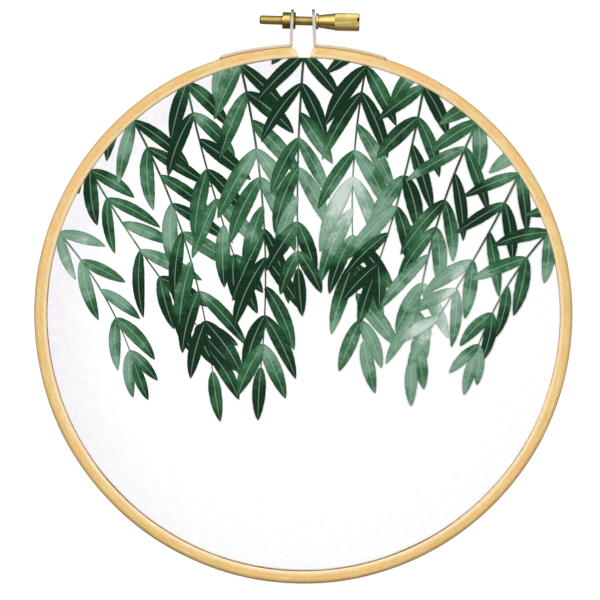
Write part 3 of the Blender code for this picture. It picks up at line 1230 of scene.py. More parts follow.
@dataclass
class OuterRing:
    """The bent strip of wood, split under the screw, with its ends eased."""

    place: HoopPlace
    finish: WoodFinish
    wall: float = 3.7 * MM
    outer_round: float = 1.2 * MM
    inner_round: float = 0.7 * MM
    back_round: float = 0.7 * MM
    left_x: float = -2.2 * MM
    right_x: float = 2.5 * MM
    left_slant: float = 0.40
    right_slant: float = 0.20
    ease: float = 1.1 * MM
    outer_drop: float = 1.3 * MM
    side_drop: float = 0.3 * MM
    seat_radius: float = 80.76 * MM
    seat_step: float = math.radians(0.04)
    slant_reach: float = 8 * MM
    unevenness: float = 0.05 * MM
    inner_share: float = 0.6
    ease_bunching: float = 1.6
    turn_steps: int = 420
    ease_steps: int = 12
    corner_steps: int = 6

    def section(self, angle: float, from_end: float) -> Section:
        """The strip's section at one place.

        Args:
            angle: The angle round the hoop.
            from_end: 0 at an end of the strip, 1 where its easing is over.

        Returns:
            The section.
        """
        drop = 1.0 - math.sqrt(1.0 - (1.0 - from_end) ** 2)
        side = self.side_drop * drop
        outer = self.place.radius
        if abs(angle % math.tau - QUARTER) < self.place.strip_angle:
            outer = self.seat_radius + self.place.strip_rise(angle)
        outer += self.unevenness * wander(angle, 3.0, 1.0) - self.outer_drop * drop
        outer -= self.place.drawn_in(angle)
        inner = self.place.radius - self.wall + side
        inner += self.unevenness * wander(angle, 4.0, 5.0) * self.inner_share
        inner -= self.place.drawn_in(angle) + self.place.thicker(angle)
        high = self.place.depth - side - self.unevenness * (1 + wander(angle, 5.0, 9.0))
        rounds = (self.back_round, self.outer_round, self.inner_round, self.back_round)
        return rounded_section(inner, outer, side, high, rounds, self.corner_steps)

    def build(self) -> bpy.types.Object:
        """Makes the ring.

        Returns:
            The piece.
        """
        middle = self.place.radius - self.wall / 2
        start = QUARTER - math.asin(self.left_x / middle)
        end = math.tau + QUARTER - math.asin(self.right_x / middle)
        ease = self.ease / middle
        span = end - start - 2 * ease
        angles = [start + ease + span * i / self.turn_steps for i in range(self.turn_steps + 1)]
        seat = self.place.strip_angle
        for edge in (QUARTER + seat, math.tau + QUARTER - seat):
            angles += [edge - self.seat_step, edge + self.seat_step]
        for i in range(self.ease_steps):
            share = (i / self.ease_steps) ** self.ease_bunching
            angles += [start + ease * share, end - ease * share]
        sections = []
        for angle in sorted(angles):
            from_end = min(1.0, min(angle - start, end - angle) / ease)
            sections.append((angle, self.section(angle, max(0.0, from_end))))
        loops = self.place.ring_loops(sections)
        middle_y = self.place.centre_y + middle
        for (angle, _), loop in zip(sections, loops):
            from_left, from_right = (angle - start) * middle, (end - angle) * middle
            lean = self.right_slant * smooth(from_right, self.slant_reach, 0.0)
            lean -= self.left_slant * smooth(from_left, self.slant_reach, 0.0)
            for point in loop:
                point.x += lean * (point.y - middle_y)
        shape = MeshShape().add_loft(loops, Cap.FACE)
        return shape.to_object("outer_ring_wood", self.finish.material(self.place), 40)

    def dress(self, piece: bpy.types.Object) -> None:
        """Says what the piece stands for and what it rides on."""
        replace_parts(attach(piece, "hoop"), "outer_ring")


@dataclass
class InnerRing:
    """The closed ring under the cloth, seen only from behind."""

    place: HoopPlace
    finish: WoodFinish
    outer: float = 76.42 * MM
    wall: float = 4.1 * MM
    top: float = 8.28 * MM
    corner: float = 0.6 * MM
    lap: float = 0.12 * MM
    lap_at: float = math.radians(118)
    lap_edge: float = 0.012
    lap_full: float = 0.4
    lap_end: float = 0.9
    unevenness: float = 0.04 * MM
    turn_steps: int = 360
    corner_steps: int = 5

    def build(self) -> bpy.types.Object:
        """Makes the ring, with the small step of its glued lap.

        Returns:
            The piece.
        """
        sections = []
        for i in range(self.turn_steps):
            angle = math.tau * i / self.turn_steps
            from_lap = (angle - self.lap_at) % math.tau
            step = self.lap * smooth(from_lap, 0.0, self.lap_edge)
            step *= smooth(from_lap, self.lap_end, self.lap_full)
            inner = self.outer - self.wall + step + self.unevenness * wander(angle, 3.0, 21.0)
            low = self.unevenness * max(0.2, 1 + wander(angle, 4.0, 25.0))
            size = (inner, self.outer, low, self.top)
            sections.append((angle, rounded_section(*size, (self.corner,) * 4, self.corner_steps)))
        shape = MeshShape().add_loft(self.place.ring_loops(sections), Cap.JOINED)
        return shape.to_object("inner_ring_wood", self.finish.material(self.place), 40)

    def dress(self, piece: bpy.types.Object) -> None:
        """Says what the piece stands for and what it rides on."""
        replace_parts(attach(piece, "hoop"), "inner_ring")


# Cloth and print


@dataclass
class StretchedCloth:
    """The sheet over the inner ring, its rim turned down between the two rings."""

    place: HoopPlace
    finish: ClothFinish
    top: float = 8.7 * MM
    rim: float = 77.34 * MM
    rim_play: float = 0.2 * MM
    bend: float = 0.6 * MM
    thickness: float = 0.3 * MM
    trim: float = 1.5 * MM
    trim_play: float = 0.5 * MM
    pucker: float = 0.07 * MM
    pucker_from: float = 62 * MM
    pucker_to: float = 75.5 * MM
    loosest_at: float = math.radians(248)
    flat_width: float = 169.0 * MM
    hub: float = 0.02
    face_bunching: float = 0.8
    turn_steps: int = 360
    face_steps: int = 24
    bend_steps: int = 9
    wall_steps: int = 4
    back_steps: int = 6

    def rim_radius(self, angle: float) -> float:
        """How far out the turned rim lies.

        Args:
            angle: The angle round the hoop.

        Returns:
            Its radius.
        """
        loose = smooth(math.cos(angle - self.loosest_at), -0.1, 0.95)
        play = self.rim_play * (0.85 * loose + 0.25 * wander(angle, 6.0, 31.0))
        return self.rim - play - self.place.drawn_in(angle) - self.place.thicker(angle)

    def face_height(self, out: float, angle: float) -> float:
        """The height of the cloth's face.

        Args:
            out: The distance from the hoop's axis.
            angle: The angle round the hoop.

        Returns:
            The height.
        """
        pull = smooth(out, self.pucker_from, self.pucker_to)
        pull *= 0.5 + 0.5 * wander(angle, 9.0, 33.0)
        past = max(0.0, out - (self.rim_radius(angle) - self.bend))
        fall = self.bend - math.sqrt(max(0.0, self.bend**2 - past**2))
        return self.top - self.pucker * pull - fall

    def wrapped(self, out: float, angle: float, lift: float) -> Vector:
        """Where a point of the flat cloth comes to lie once its rim is turned down.

        Args:
            out: Its distance from the middle of the flat cloth.
            angle: Its angle round the hoop.
            lift: How far it stands off the face.

        Returns:
            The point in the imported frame.
        """
        flat = self.rim_radius(angle) - self.bend
        if out <= flat:
            return self.place.polar(out, angle, self.face_height(out, angle) + lift)
        turned = min(QUARTER, (out - flat) / self.bend)
        reach = self.bend + lift
        up = self.face_height(flat, angle) - self.bend + reach * math.cos(turned)
        return self.place.polar(flat + reach * math.sin(turned), angle, up)

    def profile(self, angle: float) -> Section:
        """The cloth's line from its middle to its trimmed edge and back inside.

        Args:
            angle: The angle round the hoop.

        Returns:
            Points of (out, up).
        """
        rim = self.rim_radius(angle)
        flat = rim - self.bend
        level = self.face_height(flat, angle)
        steps = [(i / self.face_steps) ** self.face_bunching for i in range(self.face_steps + 1)]
        outs = [flat * (self.hub + (1 - self.hub) * step) for step in steps]
        face = [(out, self.face_height(out, angle)) for out in outs]
        turn = [
            (flat + self.bend * math.sin(a), level - self.bend * (1 - math.cos(a)))
            for a in (QUARTER * i / self.bend_steps for i in range(1, self.bend_steps + 1))
        ]
        fray = wander(angle, 11.0, 37.0) + 0.4 * wander(angle, 60.0, 39.0)
        trim = self.trim + self.trim_play * fray
        foot, rows = turn[-1][1], self.wall_steps
        wall = [(rim, foot + (trim - foot) * i / rows) for i in range(1, rows + 1)]
        inside = rim - self.thickness
        back_wall = [(inside, up) for _, up in reversed(wall)]
        small = self.bend - self.thickness
        back_turn = [
            (flat + small * math.sin(a), level - self.bend + small * math.cos(a))
            for a in (QUARTER * (1 - i / self.back_steps) for i in range(self.back_steps + 1))
        ]
        back = [(out, up - self.thickness) for out, up in reversed(face[:-1])]
        return face + turn + wall + back_wall + back_turn + back

    def build(self) -> bpy.types.Object:
        """Makes the sheet.

        Returns:
            The piece.
        """
        turns = [math.tau * i / self.turn_steps for i in range(self.turn_steps)]
        lines = [self.profile(a) for a in turns]
        loops = [
            [self.place.polar(line[k][0], a, line[k][1]) for a, line in zip(turns, lines)]
            for k in range(len(lines[0]))
        ]
        shape = MeshShape().add_loft(loops, Cap.POINT)
        return shape.to_object("stretched_cloth", self.finish.material(self.place), 50)

    def dress(
        self, piece: bpy.types.Object, ring: bpy.types.Object, leaves: bpy.types.Object
    ) -> None:
        """Says what the piece stands for and what it rides on.

        Args:
            piece: The cloth.
            ring: The ring that it is stretched over; not used.
            leaves: The print on it; not used.
        """
        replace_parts(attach(piece, "hoop"), "cloth")


@dataclass(frozen=True)
class Sprig:
    """One painted sprig. Angles are in degrees and lengths in millimetres."""

    start: float
    heading: float
    turn: float
    length: float
    leaf: float
    width: float
    nodes: int
    tone: float


@dataclass
class LeafPrint:
    """Sprigs of slim leaves that hang from the upper rim, painted on the cloth.

    How far leaves open and curl is in degrees, and pairs are the least and the most of a draw.
    """

    place: HoopPlace
    finish: PrintFinish
    cloth: StretchedCloth
    sprigs: tuple[Sprig, ...] = (
        Sprig(161, -42, -30, 46, 15, 4.6, 6, 0.62),
        Sprig(146, -62, 12, 62, 17, 5.0, 8, 0.40),
        Sprig(131, -58, -26, 80, 19, 5.4, 10, 0.55),
        Sprig(117, -80, 10, 58, 18, 5.6, 8, 0.30),
        Sprig(104, -74, -22, 92, 20, 5.6, 12, 0.50),
        Sprig(90, -96, 8, 64, 18, 5.4, 9, 0.36),
        Sprig(76, -104, 24, 84, 20, 5.6, 11, 0.58),
        Sprig(62, -98, -12, 60, 18, 5.4, 8, 0.34),
        Sprig(48, -120, 26, 74, 18, 5.2, 10, 0.52),
        Sprig(33, -114, -10, 54, 16, 4.8, 7, 0.44),
        Sprig(19, -140, 32, 44, 15, 4.6, 6, 0.60),
    )
    clip: float = 77.7 * MM
    beyond: float = 12 * MM
    lift: float = 0.02 * MM
    layer: float = 0.003 * MM
    net: float = 1.0 * MM
    net_margin: float = 0.6 * MM
    stem_width: float = 0.75 * MM
    stem_taper: float = 0.65
    stem_shade: float = 0.15
    stem_steps: int = 60
    first_leaf: float = 0.05
    leaf_run: float = 0.89
    opening: tuple[float, float] = (34, 52)
    closing: float = 14
    curl: tuple[float, float] = (6, 26)
    length_play: tuple[float, float] = (0.86, 1.1)
    width_play: tuple[float, float] = (0.85, 1.12)
    tone_play: float = 0.5
    tip_length: float = 0.8
    tip_width: float = 0.9
    tip_turn: float = 0.1
    fullness: float = 2.05
    foot: float = 0.015
    foot_power: float = 0.62
    tip_power: float = 0.78
    edge_play: float = 0.06
    edge_scale: float = 900.0
    least_half: float = 0.04 * MM
    rows: int = 30
    columns: int = 8
    seed: int = 11

    def stem_line(self, sprig: Sprig) -> list[tuple[Vector, float]]:
        """Walks along a sprig's stem.

        Args:
            sprig: The sprig.

        Returns:
            Points in the hoop's plane, each with the heading there in radians.
        """
        angle = math.radians(sprig.start)
        first = math.radians(sprig.heading)
        spot = Vector((math.cos(angle), math.sin(angle))) * self.clip
        spot -= Vector((math.cos(first), math.sin(first))) * self.beyond
        steps, line = self.stem_steps, []
        for i in range(steps + 1):
            heading = math.radians(sprig.heading + sprig.turn * (i / steps))
            line.append((spot.copy(), heading))
            ahead = Vector((math.cos(heading), math.sin(heading)))
            spot += ahead * (sprig.length * MM + self.beyond) / steps
        return line

    def ribbon(self, line: list[Vector], half: list[float], tone: float, level: float) -> MeshShape:
        """A painted stroke with a given half width along a line, clipped at the rim.

        Args:
            line: The stroke's middle, in the hoop's plane.
            half: Its half width at each point.
            tone: How light its paint is.
            level: How high it lies over the cloth.

        Returns:
            The stroke as a shape.
        """
        rows, places = [], []
        for i, (spot, reach) in enumerate(zip(line, half)):
            before, after = line[max(0, i - 1)], line[min(len(line) - 1, i + 1)]
            run = (after - before).normalized()
            left = Vector((-run.y, run.x))
            row, tags = [], []
            for j in range(self.columns + 1):
                across = 2 * j / self.columns - 1
                point = spot + left * reach * across
                if point.length > self.clip:
                    point = point.normalized() * self.clip
                row.append(Vector((*point, level)))
                tags.append((i / (len(line) - 1), across, tone))
            rows.append(row)
            places.append(tags)
        shape = MeshShape()
        shape.add_patch(rows, places)
        return shape

    def leaf(
        self, base: Vector, heading: float, length: float, width: float, bend: float
    ) -> Stroke:
        """The middle line and half widths of one leaf.

        Args:
            base: Where it leaves the stem.
            heading: Its first direction in radians.
            length: Its length.
            width: Its greatest width.
            bend: How far it turns along its length, in radians.

        Returns:
            The line and the half widths.
        """
        line, half, spot = [], [], base.copy()
        for i in range(self.rows + 1):
            t = i / self.rows
            swell = self.fullness * (t + self.foot) ** self.foot_power * (1 - t) ** self.tip_power
            rough = 1 + self.edge_play * noise.noise(Vector((spot.x, spot.y, 0)) * self.edge_scale)
            line.append(spot.copy())
            half.append(max(self.least_half, width / 2 * swell * rough))
            turned = heading + bend * t
            spot += Vector((math.cos(turned), math.sin(turned))) * length / self.rows
        return line, half

    def squares(self, middle: list[Vector], half: list[float]) -> set[tuple[int, int]]:
        """The squares of a coarse net that a stroke covers.

        Args:
            middle: The stroke's middle line.
            half: Its half width at each point.

        Returns:
            The squares' places in the net.
        """
        covered = set()
        for spot, wide in zip(middle, half):
            reach = wide + self.net_margin
            across, up = (
                range(int((v - reach) // self.net), int((v + reach) // self.net) + 1)
                for v in spot.xy
            )
            covered.update((i, j) for i in across for j in up)
        return covered

    def strokes(self, sprig: Sprig, chance: random.Random) -> list[tuple[list, list, float]]:
        """A sprig's strokes: its stem, its leaves in turn and the leaf at its tip.

        Args:
            sprig: The sprig.
            chance: Where its uneven sizes are drawn from.

        Returns:
            Each stroke's middle line, half widths and tone.
        """
        line = self.stem_line(sprig)
        count = len(line)
        widths = [self.stem_width * (1 - self.stem_taper * i / count) / 2 for i in range(count)]
        strokes = [([p for p, _ in line], widths, sprig.tone - self.stem_shade)]
        for k in range(sprig.nodes):
            share = self.first_leaf + self.leaf_run * k / max(1, sprig.nodes - 1)
            base, heading = line[int(share * (count - 1))]
            side = 1 if k % 2 else -1
            swell = 0.70 + 0.45 * math.sin(math.pi * (0.15 + 0.75 * share))
            for flank in (side, -side) if k % 3 else (side,):
                open_by = math.radians(chance.uniform(*self.opening) - self.closing * share)
                length = sprig.leaf * MM * swell * chance.uniform(*self.length_play)
                width = sprig.width * MM * chance.uniform(*self.width_play)
                bend = -flank * math.radians(chance.uniform(*self.curl))
                stroke = self.leaf(base, heading + flank * open_by, length, width, bend)
                tone = sprig.tone + chance.uniform(-self.tone_play, self.tone_play)
                strokes.append((*stroke, tone))
        tip, heading = line[-1]
        length, width = sprig.leaf * MM * self.tip_length, sprig.width * MM * self.tip_width
        strokes.append((*self.leaf(tip, heading, length, width, self.tip_turn), sprig.tone))
        return strokes

    def build(self) -> bpy.types.Object:
        """Lays out every stem and leaf in one mesh, each stroke above those that it crosses.

        Returns:
            The piece.
        """
        chance = random.Random(self.seed)
        shape = MeshShape()
        levels: dict[tuple[int, int], int] = {}
        for sprig in self.sprigs:
            for middle, half, tone in self.strokes(sprig, chance):
                squares = self.squares(middle, half)
                level = 1 + max(levels.get(square, 0) for square in squares)
                levels.update(dict.fromkeys(squares, level))
                self.merge(shape, self.ribbon(middle, half, tone, self.lift + self.layer * level))
        LOG.info("print: strokes in %d levels", max(levels.values()))
        piece = shape.to_object("leaf_print", self.finish.material(), 60)
        self.wrap(piece)
        return piece

    def wrap(self, piece: bpy.types.Object) -> None:
        """Lays the flat print on the cloth, with finer faces where the cloth turns down.

        Args:
            piece: The print, drawn flat about the origin with its levels as heights.
        """
        bm = bmesh.new()
        bm.from_mesh(piece.data)
        fine = self.cloth.rim - 4 * self.cloth.bend
        edges = [e for e in bm.edges if any(v.co.xy.length > fine for v in e.verts)]
        bmesh.ops.subdivide_edges(bm, edges=edges, cuts=3, use_grid_fill=True)
        for vert in bm.verts:
            out, angle = vert.co.xy.length, math.atan2(vert.co.y, vert.co.x)
            vert.co = self.cloth.wrapped(out, angle, vert.co.z)
        bmesh.ops.recalc_face_normals(bm, faces=bm.faces)
        bm.to_mesh(piece.data)
        bm.free()

    def merge(self, shape: MeshShape, stroke: MeshShape) -> None:
        """Adds a stroke's faces that lie inside the rim.

        Args:
            shape: The whole print.
            stroke: The stroke that is added.
        """
        inside = [p.xy.length < self.clip - 0.001 * MM for p in stroke.points]
        first = len(shape.points)
        shape.points += stroke.points
        shape.places += stroke.places
        kept = [f for f in stroke.faces if any(inside[i] for i in f)]
        shape.faces += [tuple(first + i for i in f) for f in kept]

    def dress(self, piece: bpy.types.Object) -> None:
        """Says what the piece rides on."""
        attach(piece, "hoop")


# Hardware


@dataclass
class Bracket:
    """A sheet-metal strip on one end of the ring, with a prong in the wood and an ear."""

    place: HoopPlace
    finish: MetalFinish
    side: Side
    hole: float
    sheet: float = 0.92 * MM
    width: float = 7.0 * MM
    strip_width: float = 7.4 * MM
    strip_radius: float = 81.24 * MM
    strip_end_x: float = 24.9 * MM
    ear_x: float = 3.3 * MM
    ear_foot_x: float = 3.6 * MM
    ear_bend: float = 0.9 * MM
    prong_depth: float = 2.4 * MM
    prong_width: float = 3.0 * MM
    prong_bend: float = 0.6 * MM
    prong_point: float = 0.6
    prong_steps: int = 2
    edge_round: float = 0.14 * MM
    tip_angle: float = math.radians(88)
    drill_reach: float = 2 * MM
    drill_columns: int = 64
    strip_steps: int = 28
    bend_steps: int = 8
    straight_steps: int = 8
    ear_steps: int = 26
    corner_steps: int = 3

    def strip_middle(self, angle: float) -> float:
        """The radius of the strip's middle, which follows the ring and rises to its far end.

        Args:
            angle: The angle round the hoop.

        Returns:
            The radius.
        """
        return self.strip_radius - self.place.drawn_in(angle) + self.place.strip_rise(angle)

    def path(self) -> list[tuple[Vector, float]]:
        """The middle line of the metal in plan, from the prong to the ear's tip.

        Returns:
            Points from the hoop's centre, each with the half width of the metal there.
        """
        sign, half, strip_half = self.side.value, self.width / 2, self.strip_width / 2
        far = QUARTER - sign * math.asin(self.strip_end_x / self.strip_radius)
        outward = Vector((math.cos(far), math.sin(far)))
        along = Vector((-outward.y, outward.x)) * sign
        corner = outward * (self.strip_middle(far) - self.prong_bend)
        slim = self.prong_width / 2
        root = corner - outward * (self.prong_depth - self.prong_bend)
        points = [(root, slim * self.prong_point), (corner, slim)]
        for i in range(1, self.bend_steps + 1):
            t = QUARTER * i / self.bend_steps
            spot = corner + along * self.prong_bend * (1 - math.cos(t))
            spot += outward * self.prong_bend * math.sin(t)
            points.append((spot, strip_half if i > self.prong_steps else slim))
        near = QUARTER - sign * math.asin((self.ear_foot_x + self.ear_bend) / self.strip_radius)
        first = far + sign * self.prong_bend / self.strip_radius
        for i in range(1, self.strip_steps + 1):
            a = first + (near - first) * i / self.strip_steps
            spot = Vector((math.cos(a), math.sin(a))) * self.strip_middle(a)
            points.append((spot, strip_half))
        foot = Vector((sign * (self.ear_foot_x + self.ear_bend), points[-1][0].y + self.ear_bend))
        for i in range(1, self.bend_steps + 1):
            t = QUARTER * i / self.bend_steps
            x, y = -sign * self.ear_bend * math.sin(t), -self.ear_bend * math.cos(t)
            points.append((foot + Vector((x, y)), half))
        screw_y = self.place.screw_y - self.place.centre_y
        lean = (self.ear_foot_x - self.ear_x) / (screw_y - foot.y)
        steps = self.straight_steps
        spots = [(foot.y + (screw_y - foot.y) * i / steps, half) for i in range(1, steps + 1)]
        turns = [self.tip_angle * i / self.ear_steps for i in range(1, self.ear_steps + 1)]
        spots += [(screw_y + half * math.sin(t), half * math.cos(t)) for t in turns]
        for y, reach in spots:
            x = sign * (self.ear_foot_x - lean * (y - foot.y))
            points.append((Vector((x, y)), reach))
        return points

    def build(self) -> bpy.types.Object:
        """Makes the bracket with its hole.

        Returns:
            The piece.
        """
        path = self.path()
        centre = Vector((0, self.place.centre_y, self.place.depth / 2))
        loops = []
        for i, (spot, reach) in enumerate(path):
            run = (path[min(len(path) - 1, i + 1)][0] - path[max(0, i - 1)][0]).normalized()
            out = Vector((-run.y, run.x, 0))
            edge = min(self.edge_round, reach * 0.9)
            half = self.sheet / 2
            rounds = (edge,) * 4
            section = rounded_section(-half, half, -reach, reach, rounds, self.corner_steps)
            loops.append([centre + spot.to_3d() + out * a + Vector((0, 0, b)) for a, b in section])
        name = f"bracket_{self.side.name.lower()}_steel"
        material = self.finish.material(self.place)
        piece = MeshShape().add_loft(loops, Cap.FACE).to_object(name, material, 40)
        ear = self.side.value * self.ear_x
        stations = [(ear - self.drill_reach, self.hole), (ear + self.drill_reach, self.hole)]
        drill = self.place.turned_loops(stations, self.drill_columns, plain_radius)
        cut_by(piece, MeshShape().add_loft(drill, Cap.FACE).to_object("drill", material, 40))
        return piece

    def dress(self, piece: bpy.types.Object) -> None:
        """Says what the piece stands for and what it rides on."""
        node = f"bracket_{self.side.name.lower()}"
        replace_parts(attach(piece, "hoop"), node)


@dataclass
class ClinchNut:
    """The hexagonal nut outside the left ear, riveted through it."""

    place: HoopPlace
    finish: MetalFinish
    corner: float = 2.5 * MM
    crown: float = 3.8 * MM
    right_x: float = -3.74 * MM
    length: float = 2.5 * MM
    chamfer: float = 0.3 * MM
    neck: float = 2.05 * MM
    flange: float = 2.6 * MM
    flange_left_x: float = -2.86 * MM
    flange_thickness: float = 0.66 * MM
    flange_edge: float = 0.16 * MM
    bore: float = 1.40 * MM
    bore_chamfer: float = 0.25 * MM
    columns: int = 96

    def hexagon(self, _along: float, angle: float, turned: float) -> float:
        """The radius of the hexagon at an angle, cut down to a turned radius.

        Args:
            _along: Not used.
            angle: The angle round the axis.
            turned: The radius that the lathe left.

        Returns:
            The smaller of the two.
        """
        sector = math.pi / 3
        off = angle % sector - sector / 2
        half_flat = self.corner / 2
        middle = self.corner * math.cos(sector / 2) - math.sqrt(self.crown**2 - half_flat**2)
        flat = middle * math.cos(off) + math.sqrt(self.crown**2 - (middle * math.sin(off)) ** 2)
        return min(flat, turned)

    def build(self) -> bpy.types.Object:
        """Makes the nut with its neck, flange and bore.

        Returns:
            The piece.
        """
        left = self.right_x - self.length
        body = [
            (left, self.bore + self.bore_chamfer),
            (left, self.corner * 0.86),
            (left + self.chamfer * 0.35, self.corner * 0.93),
            (left + self.chamfer, self.corner),
            (left + self.chamfer * 1.6, self.corner * 1.1),
            (self.right_x - self.chamfer * 1.2, self.corner * 1.1),
            (self.right_x - self.chamfer * 0.6, self.corner),
            (self.right_x, self.corner * 0.93),
            (self.right_x, self.neck),
        ]
        end = self.flange_left_x + self.flange_thickness
        edge = self.flange_edge
        rim = [
            (self.flange_left_x, self.neck),
            (self.flange_left_x, self.flange - edge),
            (self.flange_left_x + edge, self.flange),
            (end - 2 * edge, self.flange),
            (end - edge * 0.6, self.flange - edge * 0.8),
            (end, self.flange - 2.4 * edge),
            (end, self.bore + 0.15 * MM),
        ]
        bore = [(end - 0.2 * MM, self.bore), (left + self.bore_chamfer, self.bore)]
        loops = self.place.turned_loops(body, self.columns, self.hexagon)
        loops += self.place.turned_loops(rim + bore, self.columns, plain_radius)
        shape = MeshShape().add_loft(loops, Cap.JOINED)
        return shape.to_object("clinch_nut_brass", self.finish.material(self.place), 32)

    def dress(self, piece: bpy.types.Object) -> None:
        """Says what the piece stands for and what it rides on."""
        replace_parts(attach(piece, "hoop"), "clinch_nut")


@dataclass
class TighteningScrew:
    """The brass screw: threaded rod, collar, cone and knurled grip with a driver slot."""

    place: HoopPlace
    finish: MetalFinish
    rod: float = 1.36 * MM
    rod_end_x: float = -13.12 * MM
    rod_chamfer: float = 0.45 * MM
    pitch: float = 0.45 * MM
    thread_depth: float = 0.03 * MM
    collar: float = 2.4 * MM
    collar_start_x: float = 3.86 * MM
    collar_end_x: float = 4.7 * MM
    cone_start: float = 1.9 * MM
    cone_end: float = 2.5 * MM
    head: float = 2.7 * MM
    head_start_x: float = 9.5 * MM
    head_end_x: float = 17.05 * MM
    head_chamfer: float = 0.3 * MM
    edge: float = 0.12 * MM
    overlap: float = 0.2 * MM
    knurls: int = 40
    knurl_depth: float = 0.13 * MM
    knurl_power: float = 1.4
    slot_width: float = 1.15 * MM
    slot_depth: float = 0.75 * MM
    slot_turn: float = math.radians(-15.5)
    rows_a_turn: int = 8
    columns: int = 60
    neck_columns: int = 96
    columns_a_knurl: int = 6

    def thread(self, along: float, angle: float, crest: float) -> float:
        """The radius of the thread.

        Args:
            along: The X of the point.
            angle: The angle round the axis.
            crest: The radius of the crest there.

        Returns:
            The radius at that point.
        """
        phase = (along / self.pitch - angle / math.tau) % 1.0
        groove = smooth(abs(phase - 0.5) * 2, 0.95, 0.15)
        return min(crest, self.rod - self.thread_depth * groove)

    def knurl(self, _along: float, angle: float, crest: float) -> float:
        """The radius of the grip, which has straight grooves where it is full size.

        Args:
            _along: Not used.
            angle: The angle round the axis.
            crest: The radius of the ridges there.

        Returns:
            The radius at that point.
        """
        wave = 0.5 - 0.5 * math.cos(self.knurls * angle)
        return min(crest, self.head - self.knurl_depth * wave**self.knurl_power)

    def build(self) -> bpy.types.Object:
        """Makes the screw in one mesh.

        Returns:
            The piece.
        """
        shape = MeshShape()
        rows = int((self.collar_start_x - self.rod_end_x) / self.pitch * self.rows_a_turn)
        step = (self.collar_start_x + self.overlap - self.rod_end_x) / rows
        stations = []
        for i in range(rows + 1):
            x = self.rod_end_x + step * i
            near = min(1.0, (x - self.rod_end_x) / self.rod_chamfer)
            stations.append((x, self.rod - self.rod_chamfer * (1 - near)))
        shape.add_loft(self.place.turned_loops(stations, self.columns, self.thread), Cap.POINT)
        edge = self.edge
        neck = [
            (self.collar_start_x, self.rod * 0.9),
            (self.collar_start_x, self.collar - edge),
            (self.collar_start_x + edge, self.collar),
            (self.collar_end_x - edge, self.collar),
            (self.collar_end_x, self.collar - edge),
            (self.collar_end_x, self.cone_start + edge),
            (self.collar_end_x + edge, self.cone_start),
            (self.head_start_x - 2 * MM, self.cone_start + (self.cone_end - self.cone_start) * 0.6),
            (self.head_start_x - edge, self.cone_end),
            (self.head_start_x + MM, self.cone_end),
        ]
        shape.add_loft(self.place.turned_loops(neck, self.neck_columns, plain_radius), Cap.POINT)
        piece = shape.to_object("screw_rod", self.finish.material(self.place), 32)
        grip = self.build_grip(piece.data.materials[0])
        both = [piece, grip]
        with bpy.context.temp_override(active_object=piece, selected_editable_objects=both):
            bpy.ops.object.join()
        piece.name = piece.data.name = "tightening_screw_brass"
        return piece

    def build_grip(self, material: bpy.types.Material) -> bpy.types.Object:
        """The knurled grip with the slot cut in its end.

        Args:
            material: The screw's finish.

        Returns:
            The grip as an object.
        """
        start, end, cut = self.head_start_x, self.head_end_x, self.head_chamfer
        stations = [
            (start, self.cone_end * 0.8),
            (start, self.head - cut),
            (start + cut * 0.5, self.head - cut * 0.5),
            (start + cut, self.head),
            (end - cut, self.head),
            (end - cut * 0.5, self.head - cut * 0.5),
            (end, self.head - cut),
            (end, self.head * 0.5),
        ]
        loops = self.place.turned_loops(stations, self.knurls * self.columns_a_knurl, self.knurl)
        grip = MeshShape().add_loft(loops, Cap.POINT).to_object("screw_grip", material, 32)
        cut_by(grip, self.slot_cutter())
        return grip

    def slot_cutter(self) -> bpy.types.Object:
        """The bar that cuts the driver slot in the grip's end.

        Returns:
            The cutter as an object.
        """
        mesh = bpy.data.meshes.new("slot_cutter")
        half, deep, wide = self.slot_width / 2, self.slot_depth, 2 * self.head
        corners = [(x, y, z) for x in (-deep, MM) for y in (-half, half) for z in (-wide, wide)]
        sides = [(0, 1, 3, 2), (4, 6, 7, 5), (0, 4, 5, 1), (2, 3, 7, 6), (0, 2, 6, 4), (1, 5, 7, 3)]
        mesh.from_pydata(corners, [], sides)
        turned = Matrix.Rotation(self.slot_turn, 4, "X")
        at_end = Matrix.Translation((self.head_end_x, 0, 0)) @ turned
        mesh.transform(self.place.screw_frame() @ at_end)
        cutter = bpy.data.objects.new("slot_cutter", mesh)
        bpy.context.scene.collection.objects.link(cutter)
        return cutter

    def dress(self, piece: bpy.types.Object) -> None:
        """Says what the piece stands for and what it rides on."""
        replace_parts(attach(piece, "screw"), "tightening_screw")


# Studio


@dataclass(frozen=True)
class SoftLight:
    """One round soft light that faces the hoop."""

    name: str
    spot: tuple[float, float, float]
    size: float
    power: float
    colour: Colour

    def hang(self) -> None:
        """Puts the light into the scene."""
        data = bpy.data.lights.new(self.name, "AREA")
        data.shape, data.size, data.energy, data.color = "DISK", self.size, self.power, self.colour
        lamp = bpy.data.objects.new(self.name, data)
        lamp.location = self.spot
        lamp.rotation_euler = Vector(self.spot).to_track_quat("Z", "Y").to_euler()
        bpy.context.scene.collection.objects.link(lamp)


